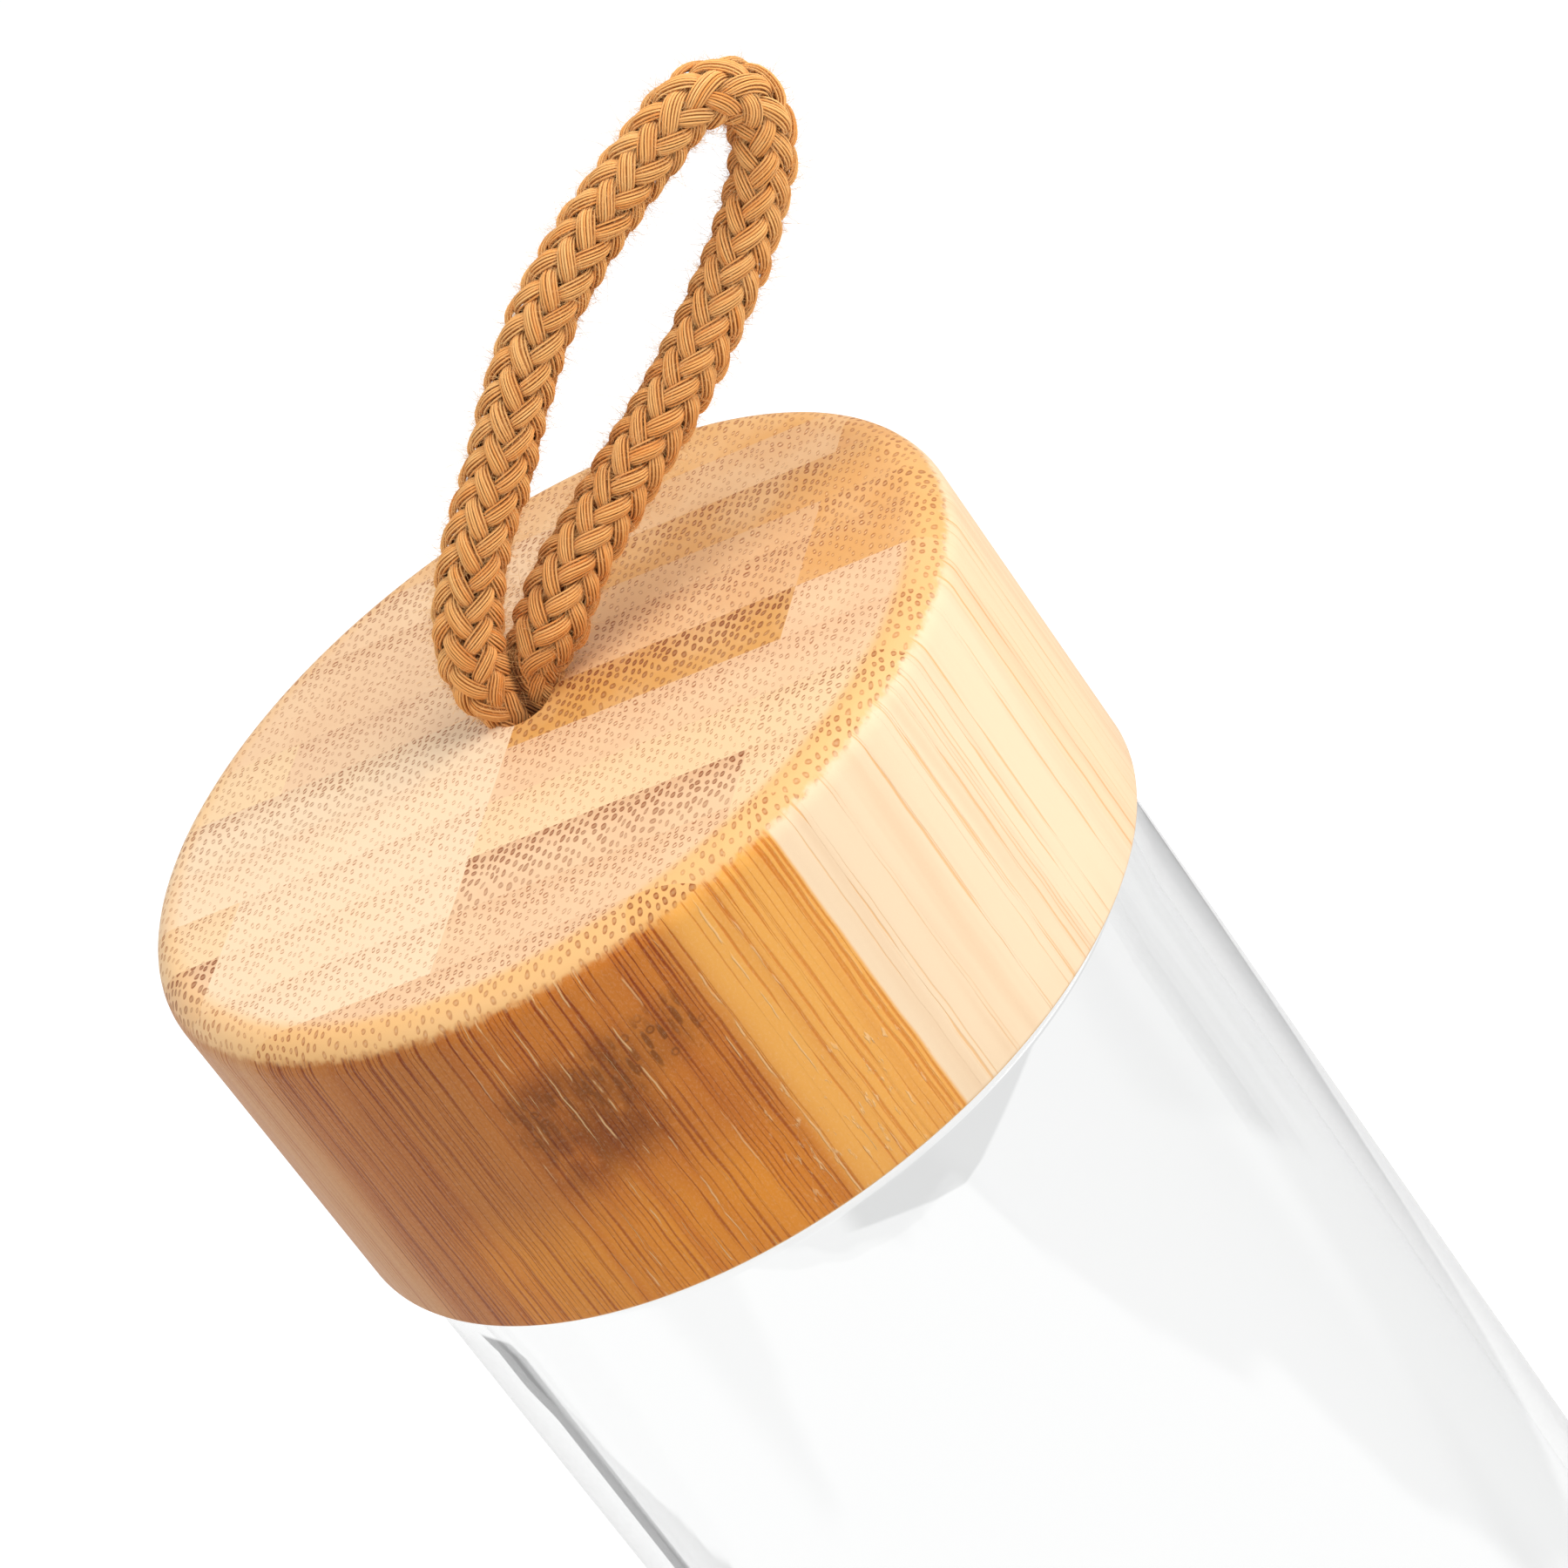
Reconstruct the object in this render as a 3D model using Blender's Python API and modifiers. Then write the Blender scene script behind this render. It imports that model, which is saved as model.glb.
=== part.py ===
"""Single-wall glass bottle with a screwed bamboo lid and a braided cord carry loop.

The bottle stands on its base ring with the base centre at the world origin and its axis on +Z.
The lid is a turned block of laminated bamboo. A threaded plastic insert is pressed into it,
a silicone ring seals on the glass rim, and the cord's two ends go down through one hole in the
lid's top and are knotted in a pocket under it. Everything on the lid hangs from one empty on
the screw axis, at the level of the skirt's lower edge.
"""

import math

import bmesh
import bpy
from mathutils import Matrix, Vector

# Fits and clearances, in metres
SEAT_GAP = 0.0003  # between pieces that touch on the real bottle
RUNNING_GAP = 0.0003  # radial room between the glass thread's crest and the insert's bore
SKIRT_GAP = 0.0005  # between the skirt's lower edge and the glass shoulder
CUT_OVERRUN = 0.002  # how far a cutter runs past the face it cuts

# Glass body
BODY_RADIUS = 0.0325
BODY_WALL = 0.0023
SHOULDER_HEIGHT = 0.182  # from the base ring to the top of the shoulder
SHOULDER_ROUNDING = 0.003
SHOULDER_LEDGE = 0.0033  # flat part of the shoulder, between the rounding and the neck's fillet
NECK_FILLET = 0.0012
NECK_WALL = 0.0024
RIM_ROUNDING = 0.0009
BASE_THICKNESS = 0.005
BASE_ROUNDING = 0.004  # outer corner between base and side
BASE_INNER_ROUNDING = 0.007
BASE_INNER_RISE = 0.0012  # how far the inside of the base is crowned
PUNT_RADIUS = 0.0205  # hollow under the base, inside the ring that it stands on
PUNT_DEPTH = 0.0016

# Glass thread
THREAD_PITCH = 0.004
THREAD_TURNS = 1.25
THREAD_HEIGHT = 0.0012
THREAD_ROOT_WIDTH = 0.0019
THREAD_CREST_WIDTH = 0.001
THREAD_TOP_DROP = 0.0025  # from the rim down to the middle of the thread's upper end
THREAD_FOOT_ROOM = 0.0023  # left under the insert's thread
THREAD_SINK = 0.0006  # how deep a ridge is rooted in the wall that carries it
THREAD_RUN_OUT_TURNS = 0.1  # each end of a ridge fades out over this much of a turn
THREAD_LIFT_TURN_SHARE = 0.5  # where round the neck the ridges begin, in turns

# Silicone seal ring
SEAL_THICKNESS = 0.0018
SEAL_OVERHANG = 0.002  # how far it reaches in past the glass mouth
SEAL_ROUNDING = 0.0004

# Threaded plastic insert
INSERT_WALL = 0.0015
INSERT_TOP_THICKNESS = 0.0018
INSERT_RECESS = 0.0005  # its lower edge lies this far inside the skirt
INSERT_RIDGE_REACH = 0.0011
INSERT_RIDGE_ROOT_WIDTH = 0.0016
INSERT_RIDGE_CREST_WIDTH = 0.0009
INSERT_EDGE_ROUNDING = 0.0004

# Carry cord
CORD_RADIUS = 0.0025
CORD_MOUTH_SHARE = 0.8  # the cord is squeezed to this share of its radius in the hole
CORD_SQUEEZED_LENGTH = 0.006  # over which it swells back to its full radius
CORD_STUB = 0.001  # each end stands straight up out of the hole over this much
CORD_POINT_SPACING = 0.003  # under a cord's width, because the bend at the top is a tight one
CORD_SIDES_RESOLUTION = 3  # 10 sides
KNOT_HEIGHT = 0.0074
KNOT_WIDTH = 0.0145
KNOT_SIDE_ROOM = 0.001  # between the knot and the pocket's wall

# Bamboo lid
LID_WALL = 0.006
LID_TOP_THICKNESS = 0.005  # over the knot's pocket
LID_TOP_ROUNDING = 0.0026
LID_RIM_ROUNDING = 0.0005
CORD_HOLE_RADIUS = 0.0044
CORD_HOLE_OFFSET = 0.0032  # behind the lid's centre, along +Y
CORD_STRAND_OFFSET = 0.00215  # each end's distance from the middle of the hole, along X
CORD_STRAND_Y = 0.003  # both ends' place along Y

# Facets of the turned shapes
TURN_STEPS = 64
THREAD_STEPS_PER_TURN = 48
ARC_STEPS = 4
HOLE_SIDES = 28

# Sizes that follow from the ones above
NECK_RADIUS = BODY_RADIUS - SHOULDER_ROUNDING - SHOULDER_LEDGE - NECK_FILLET
MOUTH_RADIUS = NECK_RADIUS - NECK_WALL
THREAD_CREST_RADIUS = NECK_RADIUS + THREAD_HEIGHT
THREAD_RISE = THREAD_PITCH * THREAD_TURNS
THREAD_SEAT_DROP = (THREAD_ROOT_WIDTH + INSERT_RIDGE_CREST_WIDTH) / 2 + SEAT_GAP
FINISH_HEIGHT = THREAD_TOP_DROP + THREAD_RISE + THREAD_SEAT_DROP + THREAD_FOOT_ROOM
RIM_Z = SHOULDER_HEIGHT + FINISH_HEIGHT

INSERT_BORE_RADIUS = THREAD_CREST_RADIUS + RUNNING_GAP
INSERT_RADIUS = INSERT_BORE_RADIUS + INSERT_WALL
LID_BORE_RADIUS = INSERT_RADIUS + SEAT_GAP
LID_RADIUS = LID_BORE_RADIUS + LID_WALL
SEAL_RADIUS = INSERT_BORE_RADIUS - SEAT_GAP
SEAL_HOLE_RADIUS = MOUTH_RADIUS - SEAL_OVERHANG

# Levels on the lid, counted up from the skirt's lower edge
LID_BASE_Z = SHOULDER_HEIGHT + SKIRT_GAP
RIM_LEVEL = RIM_Z - LID_BASE_Z
SEAL_LEVEL = RIM_LEVEL + SEAT_GAP
INSERT_ROOF_LEVEL = SEAL_LEVEL + SEAL_THICKNESS + SEAT_GAP
INSERT_TOP_LEVEL = INSERT_ROOF_LEVEL + INSERT_TOP_THICKNESS
LID_BORE_DEPTH = INSERT_TOP_LEVEL + SEAT_GAP
POCKET_DEPTH = KNOT_HEIGHT + 2 * SEAT_GAP
POCKET_ROOF_LEVEL = LID_BORE_DEPTH + POCKET_DEPTH
POCKET_RADIUS = CORD_HOLE_OFFSET + KNOT_WIDTH / 2 + KNOT_SIDE_ROOM
LID_HEIGHT = POCKET_ROOF_LEVEL + LID_TOP_THICKNESS
KNOT_LEVEL = LID_BORE_DEPTH + SEAT_GAP + KNOT_HEIGHT / 2

# Route of the carry loop's middle line: metres from the middle of the lid's top face
CORD_ROUTE = [
    (-0.00215, 0.0030, 0.0013),
    (-0.0020, 0.0030, 0.0028),
    (-0.0015, 0.0030, 0.0047),
    (-0.0003, 0.0030, 0.0073),
    (0.0013, 0.0030, 0.0096),
    (0.0031, 0.0030, 0.0116),
    (0.0051, 0.0030, 0.0135),
    (0.0084, 0.0030, 0.0162),
    (0.0127, 0.0030, 0.0202),
    (0.0177, 0.0030, 0.0240),
    (0.0234, 0.0030, 0.0269),
    (0.0295, 0.0030, 0.0291),
    (0.0340, 0.0030, 0.0305),
    (0.0367, 0.0030, 0.0301),
    (0.0382, 0.0030, 0.0285),
    (0.0381, 0.0030, 0.0262),
    (0.0363, 0.0030, 0.0232),
    (0.0325, 0.0030, 0.0196),
    (0.0275, 0.0030, 0.0161),
    (0.0220, 0.0030, 0.0129),
    (0.0150, 0.0030, 0.0095),
    (0.0100, 0.0030, 0.0071),
    (0.0066, 0.0030, 0.0053),
    (0.0041, 0.0030, 0.0037),
    (0.0027, 0.0030, 0.0024),
    (0.00215, 0.0030, 0.0013),
]

# Numerical tolerances and counts that aren't sizes of the bottle
MERGE_DISTANCE = 0.00001
ROUTE_SUBSTEPS = 16


def clear_scene():
    for item in list(bpy.data.objects):
        bpy.data.objects.remove(item, do_unlink=True)
    for item in list(bpy.data.collections):
        bpy.data.collections.remove(item)


def new_collection(name):
    collection = bpy.data.collections.new(name)
    bpy.context.scene.collection.children.link(collection)
    return collection


def finish(name, colour, roughness, metallic=0.0, transmission=0.0, ior=1.5):
    """A plain Principled material."""
    made = bpy.data.materials.new(name)
    made.use_nodes = True
    made.diffuse_color = (*colour, 1.0)
    shader = made.node_tree.nodes["Principled BSDF"]
    shader.inputs["Base Color"].default_value = (*colour, 1.0)
    shader.inputs["Roughness"].default_value = roughness
    shader.inputs["Metallic"].default_value = metallic
    shader.inputs["Transmission Weight"].default_value = transmission
    shader.inputs["IOR"].default_value = ior
    return made


def glass_finish():
    return finish("clear_glass", (0.94, 0.975, 0.965), 0.02, transmission=1.0, ior=1.52)


def bamboo_finish():
    return finish("bamboo", (0.82, 0.52, 0.24), 0.45)


def insert_finish():
    return finish("white_plastic", (0.82, 0.82, 0.80), 0.4)


def seal_finish():
    return finish("silicone", (0.78, 0.78, 0.76), 0.55)


def cord_finish():
    return finish("cotton_cord", (0.56, 0.27, 0.09), 0.95)


def arc(centre_r, centre_z, semi_r, semi_z, from_degrees, to_degrees):
    """Points (radius, height) along part of an ellipse, ends included."""
    points = []
    for step in range(ARC_STEPS + 1):
        angle = math.radians(from_degrees + (to_degrees - from_degrees) * step / ARC_STEPS)
        points.append((centre_r + semi_r * math.cos(angle), centre_z + semi_z * math.sin(angle)))
    return points


def crown(edge_r, edge_z, rise):
    """Points (radius, height) of a shallow bowed face, from the axis out to its edge."""
    shares = (0.0, 0.4, 0.75, 1.0)
    return [(edge_r * share, edge_z + rise * (1 - share * share)) for share in shares]


def turned(name, outline, closed, collection):
    """A turned solid. The outline runs down its outer side; a closed one never meets the axis."""
    mesh = bpy.data.meshes.new(name)
    shape = bmesh.new()
    corners = [shape.verts.new((radius, 0, height)) for radius, height in outline]
    for first, second in zip(corners, corners[1:]):
        shape.edges.new((first, second))
    if closed:
        shape.edges.new((corners[-1], corners[0]))
    shape.to_mesh(mesh)
    shape.free()
    made = bpy.data.objects.new(name, mesh)
    collection.objects.link(made)
    screw = made.modifiers.new("turn", "SCREW")
    screw.axis = "Z"
    screw.steps = TURN_STEPS
    screw.render_steps = TURN_STEPS
    screw.use_merge_vertices = True
    screw.merge_threshold = MERGE_DISTANCE
    screw.use_smooth_shade = True
    return made


def combine(target, tool, operation):
    """Joins a tool to the target, or cuts it out, with an exact Boolean."""
    boolean = target.modifiers.new(tool.name, "BOOLEAN")
    boolean.operation = operation
    boolean.solver = "EXACT"
    boolean.object = tool


def hide_tool(tool):
    tool.hide_render = True
    tool.display_type = "WIRE"


def helical_ridge(name, root_radius, crest_radius, root_width, crest_width, foot_z, cutters):
    """A thread ridge: one trapezium carried up a right-hand helix, fading out at both ends."""
    shape = bmesh.new()
    sections = math.ceil(THREAD_TURNS * THREAD_STEPS_PER_TURN)
    outward = math.copysign(1, crest_radius - root_radius)
    flank_share = 0.85
    rings = []
    for index in range(sections + 1):
        turn = THREAD_TURNS * index / sections
        from_end = min(turn, THREAD_TURNS - turn)
        grown = min(1.0, from_end / THREAD_RUN_OUT_TURNS)
        angle = 2 * math.pi * (turn + THREAD_LIFT_TURN_SHARE)
        middle_z = foot_z + THREAD_PITCH * turn
        buried = root_radius + outward * THREAD_SINK / 2
        crest = buried + (crest_radius - buried) * grown
        flank = root_radius + (crest - root_radius) * flank_share
        half_root = root_width / 2
        half_crest = crest_width / 2
        section = [
            (root_radius, -half_root),
            (flank, -(half_root + half_crest) / 2),
            (crest, -half_crest / 2),
            (crest, half_crest / 2),
            (flank, (half_root + half_crest) / 2),
            (root_radius, half_root),
        ]
        rings.append(
            [
                shape.verts.new((r * math.cos(angle), r * math.sin(angle), middle_z + z))
                for r, z in section
            ]
        )
    count = len(rings[0])
    for lower, upper in zip(rings, rings[1:]):
        for corner in range(count):
            after = (corner + 1) % count
            shape.faces.new((lower[corner], lower[after], upper[after], upper[corner]))
    shape.faces.new(rings[0])
    shape.faces.new(list(reversed(rings[-1])))
    bmesh.ops.recalc_face_normals(shape, faces=shape.faces)
    mesh = bpy.data.meshes.new(name)
    shape.to_mesh(mesh)
    shape.free()
    made = bpy.data.objects.new(name, mesh)
    cutters.objects.link(made)
    hide_tool(made)
    return made


def glass_outline():
    """From the inside of the base, up the inner wall, over the rim and down the outside."""
    inner_radius = BODY_RADIUS - BODY_WALL
    inner_rounding = SHOULDER_ROUNDING - BODY_WALL
    inner_shoulder_z = SHOULDER_HEIGHT - BODY_WALL
    outline = crown(inner_radius - BASE_INNER_ROUNDING, BASE_THICKNESS, BASE_INNER_RISE)
    outline += arc(
        inner_radius - BASE_INNER_ROUNDING,
        BASE_THICKNESS + BASE_INNER_ROUNDING,
        BASE_INNER_ROUNDING,
        BASE_INNER_ROUNDING,
        -90,
        0,
    )[1:]
    outline += arc(
        inner_radius - inner_rounding,
        inner_shoulder_z - inner_rounding,
        inner_rounding,
        inner_rounding,
        0,
        90,
    )
    outline += arc(
        NECK_RADIUS + NECK_FILLET,
        SHOULDER_HEIGHT + NECK_FILLET,
        NECK_RADIUS + NECK_FILLET - MOUTH_RADIUS,
        NECK_FILLET + BODY_WALL,
        270,
        180,
    )
    outline += arc(
        MOUTH_RADIUS + RIM_ROUNDING, RIM_Z - RIM_ROUNDING, RIM_ROUNDING, RIM_ROUNDING, 180, 90
    )
    outline += arc(
        NECK_RADIUS - RIM_ROUNDING, RIM_Z - RIM_ROUNDING, RIM_ROUNDING, RIM_ROUNDING, 90, 0
    )
    outline += arc(
        NECK_RADIUS + NECK_FILLET,
        SHOULDER_HEIGHT + NECK_FILLET,
        NECK_FILLET,
        NECK_FILLET,
        180,
        270,
    )
    outline += arc(
        BODY_RADIUS - SHOULDER_ROUNDING,
        SHOULDER_HEIGHT - SHOULDER_ROUNDING,
        SHOULDER_ROUNDING,
        SHOULDER_ROUNDING,
        90,
        0,
    )
    outline += arc(
        BODY_RADIUS - BASE_ROUNDING, BASE_ROUNDING, BASE_ROUNDING, BASE_ROUNDING, 0, -90
    )
    outline += list(reversed(crown(PUNT_RADIUS, 0, PUNT_DEPTH)))
    return outline


def make_glass_bottle(parts, cutters):
    bottle = turned("glass_bottle", glass_outline(), False, parts)
    ridge = helical_ridge(
        "glass_thread",
        NECK_RADIUS - THREAD_SINK,
        THREAD_CREST_RADIUS,
        THREAD_ROOT_WIDTH,
        THREAD_CREST_WIDTH,
        RIM_Z - THREAD_TOP_DROP - THREAD_RISE,
        cutters,
    )
    combine(bottle, ridge, "UNION")
    bottle.data.materials.append(glass_finish())
    return bottle


def lid_outline():
    """From the top's centre, over the outer edge, down the side and up inside the bore."""
    outline = [(0, LID_HEIGHT)]
    outline += arc(
        LID_RADIUS - LID_TOP_ROUNDING,
        LID_HEIGHT - LID_TOP_ROUNDING,
        LID_TOP_ROUNDING,
        LID_TOP_ROUNDING,
        90,
        0,
    )
    outline += arc(
        LID_RADIUS - LID_RIM_ROUNDING,
        LID_RIM_ROUNDING,
        LID_RIM_ROUNDING,
        LID_RIM_ROUNDING,
        0,
        -90,
    )
    outline += [
        (LID_BORE_RADIUS, 0),
        (LID_BORE_RADIUS, LID_BORE_DEPTH),
        (POCKET_RADIUS, LID_BORE_DEPTH),
        (POCKET_RADIUS, POCKET_ROOF_LEVEL),
        (0, POCKET_ROOF_LEVEL),
    ]
    return outline


def make_bamboo_lid(parts, cutters, lid_axis):
    lid = turned("bamboo_lid", lid_outline(), False, parts)
    lid.parent = lid_axis
    hole_depth = LID_TOP_THICKNESS + 2 * CUT_OVERRUN
    bpy.ops.mesh.primitive_cylinder_add(
        vertices=HOLE_SIDES,
        radius=CORD_HOLE_RADIUS,
        depth=hole_depth,
        location=(0, CORD_HOLE_OFFSET, POCKET_ROOF_LEVEL + LID_TOP_THICKNESS / 2),
    )
    drill = bpy.context.object
    drill.name = "cord_hole_drill"
    for collection in list(drill.users_collection):
        collection.objects.unlink(drill)
    cutters.objects.link(drill)
    drill.parent = lid_axis
    hide_tool(drill)
    combine(lid, drill, "DIFFERENCE")
    lid.data.materials.append(bamboo_finish())
    return lid


def insert_outline():
    """A cap that is open below, from the middle of its top down the outside."""
    outline = [(0, INSERT_TOP_LEVEL)]
    outline += arc(
        INSERT_RADIUS - INSERT_EDGE_ROUNDING,
        INSERT_TOP_LEVEL - INSERT_EDGE_ROUNDING,
        INSERT_EDGE_ROUNDING,
        INSERT_EDGE_ROUNDING,
        90,
        0,
    )
    outline += [
        (INSERT_RADIUS, INSERT_RECESS),
        (INSERT_BORE_RADIUS, INSERT_RECESS),
        (INSERT_BORE_RADIUS, INSERT_ROOF_LEVEL),
        (0, INSERT_ROOF_LEVEL),
    ]
    return outline


def make_threaded_insert(parts, cutters, lid_axis):
    insert = turned("threaded_insert", insert_outline(), False, parts)
    insert.parent = lid_axis
    ridge = helical_ridge(
        "insert_thread",
        INSERT_BORE_RADIUS + THREAD_SINK,
        INSERT_BORE_RADIUS - INSERT_RIDGE_REACH,
        INSERT_RIDGE_ROOT_WIDTH,
        INSERT_RIDGE_CREST_WIDTH,
        RIM_LEVEL - THREAD_TOP_DROP - THREAD_RISE - THREAD_SEAT_DROP,
        cutters,
    )
    ridge.parent = lid_axis
    combine(insert, ridge, "UNION")
    insert.data.materials.append(insert_finish())
    return insert


def make_seal_ring(parts, lid_axis):
    seal_top = SEAL_LEVEL + SEAL_THICKNESS
    outline = [(SEAL_HOLE_RADIUS, SEAL_LEVEL), (SEAL_HOLE_RADIUS, seal_top)]
    outline += arc(
        SEAL_RADIUS - SEAL_ROUNDING, seal_top - SEAL_ROUNDING, SEAL_ROUNDING, SEAL_ROUNDING, 90, 0
    )
    outline += arc(
        SEAL_RADIUS - SEAL_ROUNDING,
        SEAL_LEVEL + SEAL_ROUNDING,
        SEAL_ROUNDING,
        SEAL_ROUNDING,
        0,
        -90,
    )
    seal = turned("seal_ring", outline, True, parts)
    seal.parent = lid_axis
    seal.data.materials.append(seal_finish())
    return seal


def smooth_line(route, spacing):
    """Evenly spaced points on a smooth curve through the route's own points."""
    points = [Vector(point) for point in route]
    padded = [2 * points[0] - points[1], *points, 2 * points[-1] - points[-2]]
    fine = [points[0]]
    for before, start, end, after in zip(padded, padded[1:], padded[2:], padded[3:]):
        for step in range(1, ROUTE_SUBSTEPS + 1):
            t = step / ROUTE_SUBSTEPS
            fine.append(
                0.5
                * (
                    2 * start
                    + (end - before) * t
                    + (2 * before - 5 * start + 4 * end - after) * t**2
                    + (3 * start - before - 3 * end + after) * t**3
                )
            )
    lengths = [0.0]
    for first, second in zip(fine, fine[1:]):
        lengths.append(lengths[-1] + (second - first).length)
    count = max(2, round(lengths[-1] / spacing))
    line = []
    place = 0
    for index in range(count + 1):
        wanted = lengths[-1] * index / count
        while place < len(fine) - 2 and lengths[place + 1] < wanted:
            place += 1
        share = (wanted - lengths[place]) / (lengths[place + 1] - lengths[place])
        line.append((fine[place].lerp(fine[place + 1], min(1.0, share)), wanted))
    return line, lengths[-1]


def cord_share(along, total):
    """The cord's radius as a share of its full one, at a length along the loop."""
    from_end = min(along, total - along)
    eased = min(1.0, from_end / CORD_SQUEEZED_LENGTH)
    return CORD_MOUTH_SHARE + (1 - CORD_MOUTH_SHARE) * eased


def cord_tube(name, line, radii, collection):
    """A capped tube along a line of points, with a radius at each."""
    curve = bpy.data.curves.new(name, "CURVE")
    curve.dimensions = "3D"
    curve.bevel_depth = CORD_RADIUS
    curve.bevel_resolution = CORD_SIDES_RESOLUTION
    curve.use_fill_caps = True
    spline = curve.splines.new("POLY")
    spline.points.add(len(line) - 1)
    for point, place, radius in zip(spline.points, line, radii):
        point.co = (*place, 1.0)
        point.radius = radius / CORD_RADIUS
    made = bpy.data.objects.new(name, curve)
    collection.objects.link(made)
    return made


def make_carry_loop(parts, lid_axis):
    line, total = smooth_line(CORD_ROUTE, CORD_POINT_SPACING)
    stub = Vector((0, 0, CORD_STUB))
    places = [line[0][0] - stub, *(place for place, _ in line), line[-1][0] - stub]
    lengths = [0, *(along for _, along in line), total]
    radii = [CORD_RADIUS * cord_share(along, total) for along in lengths]
    loop = cord_tube("carry_cord_loop", places, radii, parts)
    loop.location = (0, 0, LID_HEIGHT)
    loop.parent = lid_axis
    loop.data.materials.append(cord_finish())
    return loop


def meshed_tube(name, line, radii, cutters):
    """A cord tube turned into a closed mesh, so that it can be joined to other shapes."""
    tube = cord_tube(name + "_curve", line, radii, cutters)
    bpy.context.view_layer.update()
    graph = bpy.context.evaluated_depsgraph_get()
    mesh = bpy.data.meshes.new_from_object(tube.evaluated_get(graph))
    shape = bmesh.new()
    shape.from_mesh(mesh)
    bmesh.ops.remove_doubles(shape, verts=shape.verts, dist=MERGE_DISTANCE)
    bmesh.ops.recalc_face_normals(shape, faces=shape.faces)
    shape.to_mesh(mesh)
    shape.free()
    made = bpy.data.objects.new(name, mesh)
    made.matrix_world = tube.matrix_world
    cutters.objects.link(made)
    bpy.data.objects.remove(tube, do_unlink=True)
    hide_tool(made)
    return made


def make_cord_knot(parts, cutters, lid_axis):
    """The stopper knot in the pocket, with both ends of the loop coming down into it."""
    knot_radius = KNOT_WIDTH / 2
    strand_radius = CORD_RADIUS * CORD_MOUTH_SHARE
    turn_radius = knot_radius - CORD_RADIUS
    mesh = bpy.data.meshes.new("cord_knot")
    shape = bmesh.new()
    bmesh.ops.create_uvsphere(
        shape,
        u_segments=20,
        v_segments=12,
        radius=1.0,
        matrix=Matrix.Diagonal((turn_radius, turn_radius, KNOT_HEIGHT / 2, 1.0)),
    )
    shape.to_mesh(mesh)
    shape.free()
    mesh.shade_smooth()
    knot = bpy.data.objects.new("cord_knot", mesh)
    knot.location = (0, CORD_STRAND_Y, KNOT_LEVEL)
    knot.parent = lid_axis
    parts.objects.link(knot)

    coil_turns = 0.9
    coil_steps = 22
    coil_drop = KNOT_HEIGHT - 2 * CORD_RADIUS
    coil = []
    for step in range(coil_steps + 1):
        share = step / coil_steps
        angle = 2 * math.pi * coil_turns * share
        height = KNOT_LEVEL + coil_drop * (0.5 - share)
        coil.append(
            (
                turn_radius * math.cos(angle),
                CORD_STRAND_Y + turn_radius * math.sin(angle),
                height,
            )
        )
    wrap = meshed_tube("knot_wrap", coil, [CORD_RADIUS] * len(coil), cutters)
    wrap.parent = lid_axis
    combine(knot, wrap, "UNION")

    tail_top = LID_HEIGHT + CORD_ROUTE[0][2] - CORD_STUB - SEAT_GAP
    for side, name in ((-1, "tail_left"), (1, "tail_right")):
        x = side * CORD_STRAND_OFFSET
        tail_line = [(x, CORD_STRAND_Y, tail_top), (x, CORD_STRAND_Y, KNOT_LEVEL)]
        tail = meshed_tube(name, tail_line, [strand_radius] * 2, cutters)
        tail.parent = lid_axis
        combine(knot, tail, "UNION")
    knot.data.materials.append(cord_finish())
    return knot


def main():
    clear_scene()
    parts = new_collection("glass_bottle_with_bamboo_lid")
    cutters = new_collection("cutters")

    lid_axis = bpy.data.objects.new("lid_axis", None)
    lid_axis.location = (0, 0, LID_BASE_Z)
    parts.objects.link(lid_axis)

    make_glass_bottle(parts, cutters)
    make_seal_ring(parts, lid_axis)
    make_threaded_insert(parts, cutters, lid_axis)
    make_bamboo_lid(parts, cutters, lid_axis)
    make_cord_knot(parts, cutters, lid_axis)
    make_carry_loop(parts, lid_axis)


main()
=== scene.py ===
"""Looks of the glass bottle with its bamboo lid and braided carry loop.

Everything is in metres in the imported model's frame: the base stands on z = 0 and the axis is +Z.
The glass, the lid and the cord are rebuilt as fine meshes that stand for their CAD nodes.
The threaded insert and the seal keep their CAD shapes and get their own materials.
"""

import math

import bmesh
import bpy
import numpy as np
from mathutils import Matrix, Vector


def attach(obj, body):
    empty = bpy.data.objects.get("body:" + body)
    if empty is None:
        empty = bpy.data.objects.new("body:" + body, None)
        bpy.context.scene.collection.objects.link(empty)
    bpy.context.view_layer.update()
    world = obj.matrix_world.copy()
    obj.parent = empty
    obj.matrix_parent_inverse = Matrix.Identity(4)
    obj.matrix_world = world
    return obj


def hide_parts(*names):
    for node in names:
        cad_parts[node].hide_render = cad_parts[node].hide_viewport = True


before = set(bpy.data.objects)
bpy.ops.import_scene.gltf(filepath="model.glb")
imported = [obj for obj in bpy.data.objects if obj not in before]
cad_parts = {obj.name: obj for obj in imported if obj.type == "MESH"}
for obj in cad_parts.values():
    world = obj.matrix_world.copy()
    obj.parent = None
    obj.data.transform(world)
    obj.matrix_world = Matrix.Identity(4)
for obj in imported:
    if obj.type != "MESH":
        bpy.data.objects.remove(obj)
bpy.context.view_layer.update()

# Camera, fitted to the lid's outline and the glass's edges
IMAGE_PIXELS = 1800
FOCAL_PIXELS = 7597.7
SENSOR_WIDTH = 36.0
CAMERA_ELEVATION = math.radians(28.037)
CAMERA_ROLL = math.radians(-36.04)
CAMERA_FROM_LID_TOP = Vector((0.011662, -0.432107, 0.213471))

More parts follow.
